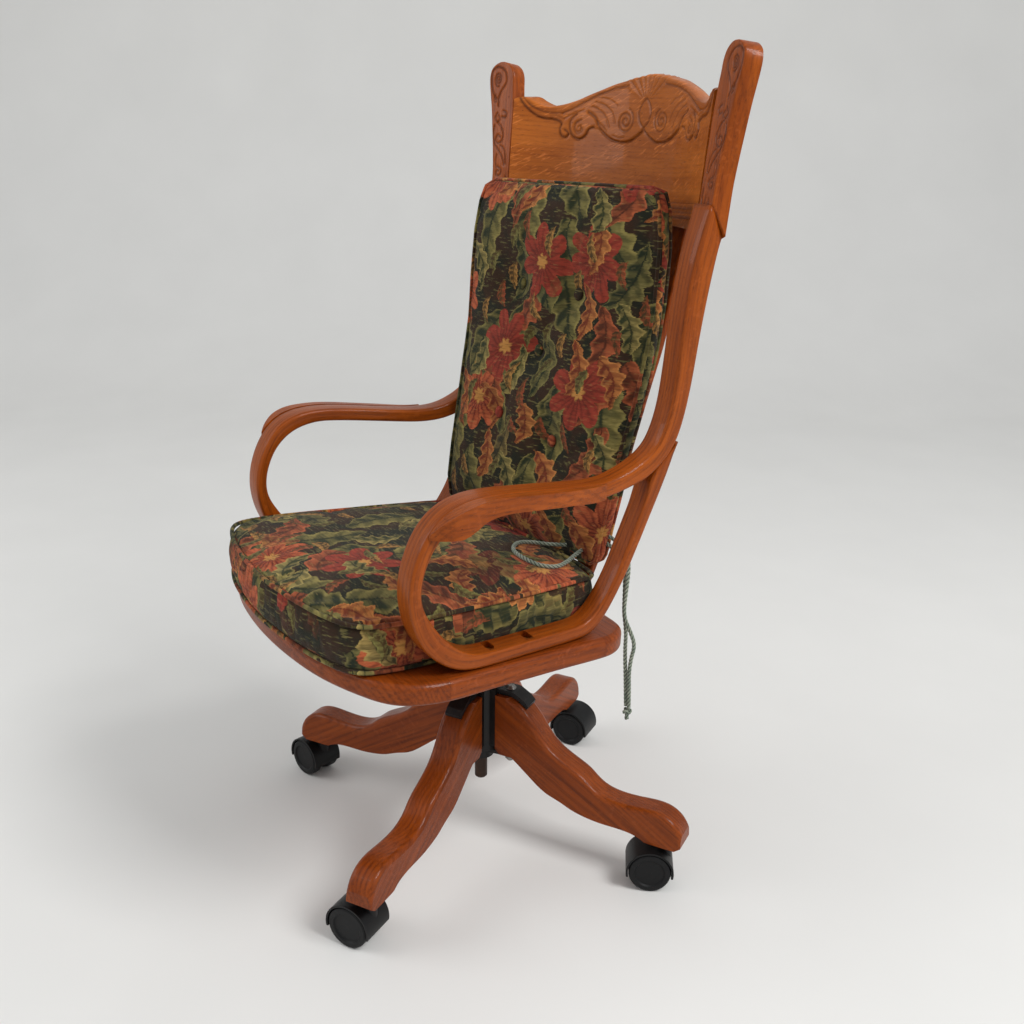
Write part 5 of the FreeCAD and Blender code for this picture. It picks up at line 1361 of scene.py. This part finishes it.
def tuft_buttons():
    """Five covered buttons sunk in the back cushion."""
    profile = [(0.0, -3.4), (3.0, -3.3), (6.0, -2.6), (8.0, -1.4), (9.0, 0.3), (8.4, 1.9),
               (5.0, 2.6)]
    lean, around = math.radians(9.0), 20
    vertices, faces = [], []
    for x, z in TUFTS:
        y = back_front(x, z) + TUFT_DEPTH - 3.0
        first = len(vertices)
        for radius, out in profile:
            for step in range(around):
                angle = 2.0 * math.pi * step / around
                a, b = radius * math.cos(angle), radius * math.sin(angle)
                o = out + 0.25 * math.sin(angle * 5.0) * (radius / 9.0)
                vertices.append(((x + a) * MM, (y + o * math.cos(lean) + b * math.sin(lean)) * MM,
                                 (z + b * math.cos(lean) - o * math.sin(lean)) * MM))
        faces += grid_faces(len(profile), around, first, closed=True, flip=True)
        last = first + (len(profile) - 1) * around
        faces.append(list(range(last, last + around))[::-1])
    buttons = add_piece("back_cushion_buttons", vertices, faces, "seat", edge_cloth)
    project_cloth(buttons, 2)
    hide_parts("back_cushion_tufts")


tuft_buttons()


# Ties and their knot

PLIES = 3
PLY_LAY = 0.006


def plied_mesh(points, radius, spacing=0.0008, around=18):
    """A tube of twisted plies along the points: vertices, faces, and 1 on a ply's crown."""
    travel = travelled(points)
    count = max(int(travel[-1] / spacing), 8)
    even = np.linspace(0.0, travel[-1], count)
    line = np.stack([np.interp(even, travel, points[:, k]) for k in range(3)], axis=-1)
    ahead = np.gradient(line, axis=0)
    ahead /= np.linalg.norm(ahead, axis=1)[:, None]
    side = np.cross(ahead[0], [0.3, 0.2, 0.93])
    side /= np.linalg.norm(side)
    vertices, crowns = [], []
    for index in range(count):
        side = side - ahead[index] * float(side @ ahead[index])
        side /= np.linalg.norm(side)
        up = np.cross(ahead[index], side)
        twist = 2.0 * math.pi * even[index] / PLY_LAY / PLIES
        for step in range(around):
            angle = 2.0 * math.pi * step / around
            lobe = abs(math.cos((angle - twist) * PLIES * 0.5))
            crowns.append(lobe)
            reach = radius * (0.78 + 0.34 * lobe)
            vertices.append(line[index] + reach * (side * math.cos(angle)
                                                   + up * math.sin(angle)))
    return vertices, grid_faces(count, around, closed=True) + end_faces(count, around), crowns


def tie(name, route):
    """A twisted cord along a tie's route, with the points it follows and its length."""
    points = followed(route)
    vertices, faces, crowns = plied_mesh(points, TIE_RADIUS * MM)
    piece = add_piece(name + "_cord", vertices, faces, "seat", yarn)
    value_attribute(piece, "ply", crowns)
    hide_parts(name)
    length = float(np.linalg.norm(np.diff(points, axis=0), axis=1).sum())
    return piece, points, length


def tie_knot():
    """The knot that gathers the hanging ties, with two short frayed ends."""
    cx, cy, cz = KNOT_MIDDLE
    turns = []
    for step in range(97):
        t = 2.0 * math.pi * step / 96
        turns.append(((cx + 1.9 * (math.sin(t) + 1.5 * math.sin(2.0 * t))) * MM,
                      (cy + 1.9 * (math.cos(t) - 1.5 * math.cos(2.0 * t))) * MM,
                      (cz - 1.6 * math.sin(3.0 * t)) * MM))
    vertices, faces, crowns = plied_mesh(np.array(turns), 0.0024, 0.0007, 14)
    for dx, dy, drop in ((-2.0, 1.0, 14.0), (2.5, -1.0, 11.0)):
        end = np.array([(cx, cy, cz), (cx + dx * 0.6, cy + dy * 0.5, cz - drop * 0.4),
                        (cx + dx, cy + dy, cz - drop)]) * MM
        more, more_faces, more_crowns = plied_mesh(smooth_line(end, 8), 0.0022, 0.0007, 14)
        first = len(vertices)
        vertices += more
        crowns += more_crowns
        faces += [[first + index for index in face] for face in more_faces]
    piece = add_piece("tie_knot_cord", vertices, faces, "seat", yarn)
    value_attribute(piece, "ply", crowns)
    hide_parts("tie_left_knot")
    return piece


knot = tie_knot()
for tie_name, tie_route, far_end, pieces in (
        ("tie_left_straight", TIE_STRAIGHT, "knot", (knot,)),
        ("tie_left_looped", TIE_LOOPED, "knot", ()),
        ("tie_bow", TIE_BOW, "object", ())):
    piece, points, length = tie(tie_name, tie_route)
    tuple(points[0])
    [tuple(point) for point in points]
    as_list(pieces)


# Floor and backdrop in one sweep

def studio_sweep():
    """A pale floor that curves up behind the chair."""
    turn = math.radians(57.0)
    floor_end, bend, half_width = 2.6, 1.6, 8.0
    away = Vector((-math.sin(turn), math.cos(turn), 0.0))
    side = Vector((away.y, -away.x, 0.0))
    profile = [(-6.0, 0.0), (0.0, 0.0), (floor_end, 0.0)]
    for angle in np.radians(np.linspace(0.0, 90.0, 15)[1:]):
        profile.append((floor_end + bend * math.sin(angle), bend * (1.0 - math.cos(angle))))
    profile += [(floor_end + bend, 4.0), (floor_end + bend, 7.0)]
    vertices = []
    for reach, high in profile:
        for wide in (-half_width, half_width):
            vertices.append(away * reach + side * wide + UP * (high - 0.0004))
    mesh = mesh_from("studio_sweep", vertices, grid_faces(len(profile), 2, flip=True))
    mesh.shade_smooth()
    sweep = placed("studio_sweep", mesh)
    sh = Shader("studio_paper")
    place = sh.node("TexCoord").outputs["Object"]
    shade = sh.mix(sh.noise(place, 3.0, 3.0, 0.5), tone(226, 225, 222), tone(234, 233, 230))
    mesh.materials.append(sh.finish(shade, 0.9))


studio_sweep()


def lamp(name, place, aim, power, size):
    """A square soft lamp that looks at a point."""
    light = bpy.data.lights.new(name, "AREA")
    light.shape = "SQUARE"
    light.size = size
    light.energy = power
    holder = placed(name, light)
    holder.location = place
    holder.rotation_euler = (Vector(aim) - Vector(place)).to_track_quat("-Z", "Y").to_euler()


lamp("key_lamp", (2.4, 0.9, 3.0), (0.0, 0.0, 0.6), 82.0, 1.3)
lamp("fill_lamp", (-1.6, -3.0, 2.4), (0.0, 0.0, 0.5), 38.0, 2.0)

world = bpy.data.worlds.new("studio")
scene.world = world
world.use_nodes = True
sky = world.node_tree.nodes["Background"]
sky.inputs["Color"].default_value = (0.96, 0.98, 1.0, 1.0)
sky.inputs["Strength"].default_value = 0.55

scene.view_settings.view_transform = "Standard"

# Camera where the photograph was taken from

CAMERA_PLACE = Vector((1.24025, -0.75344, 1.01342))
yaw, pitch, roll = math.radians(57.033), math.radians(18.897), math.radians(0.713)
backwards = Vector((math.sin(yaw) * math.cos(pitch), -math.cos(yaw) * math.cos(pitch),
                    math.sin(pitch)))
level = Vector((math.cos(yaw), math.sin(yaw), 0.0))
upright = backwards.cross(level)
right = level * math.cos(roll) + upright * math.sin(roll)
above = upright * math.cos(roll) - level * math.sin(roll)
lens = bpy.data.cameras.new("camera")
lens.lens = 38.06
lens.sensor_width = 36.0
lens.clip_end = 60.0
camera = placed("camera", lens)
turn = Matrix((right, above, backwards)).transposed().to_4x4()
camera.matrix_world = Matrix.Translation(CAMERA_PLACE) @ turn
scene.camera = camera
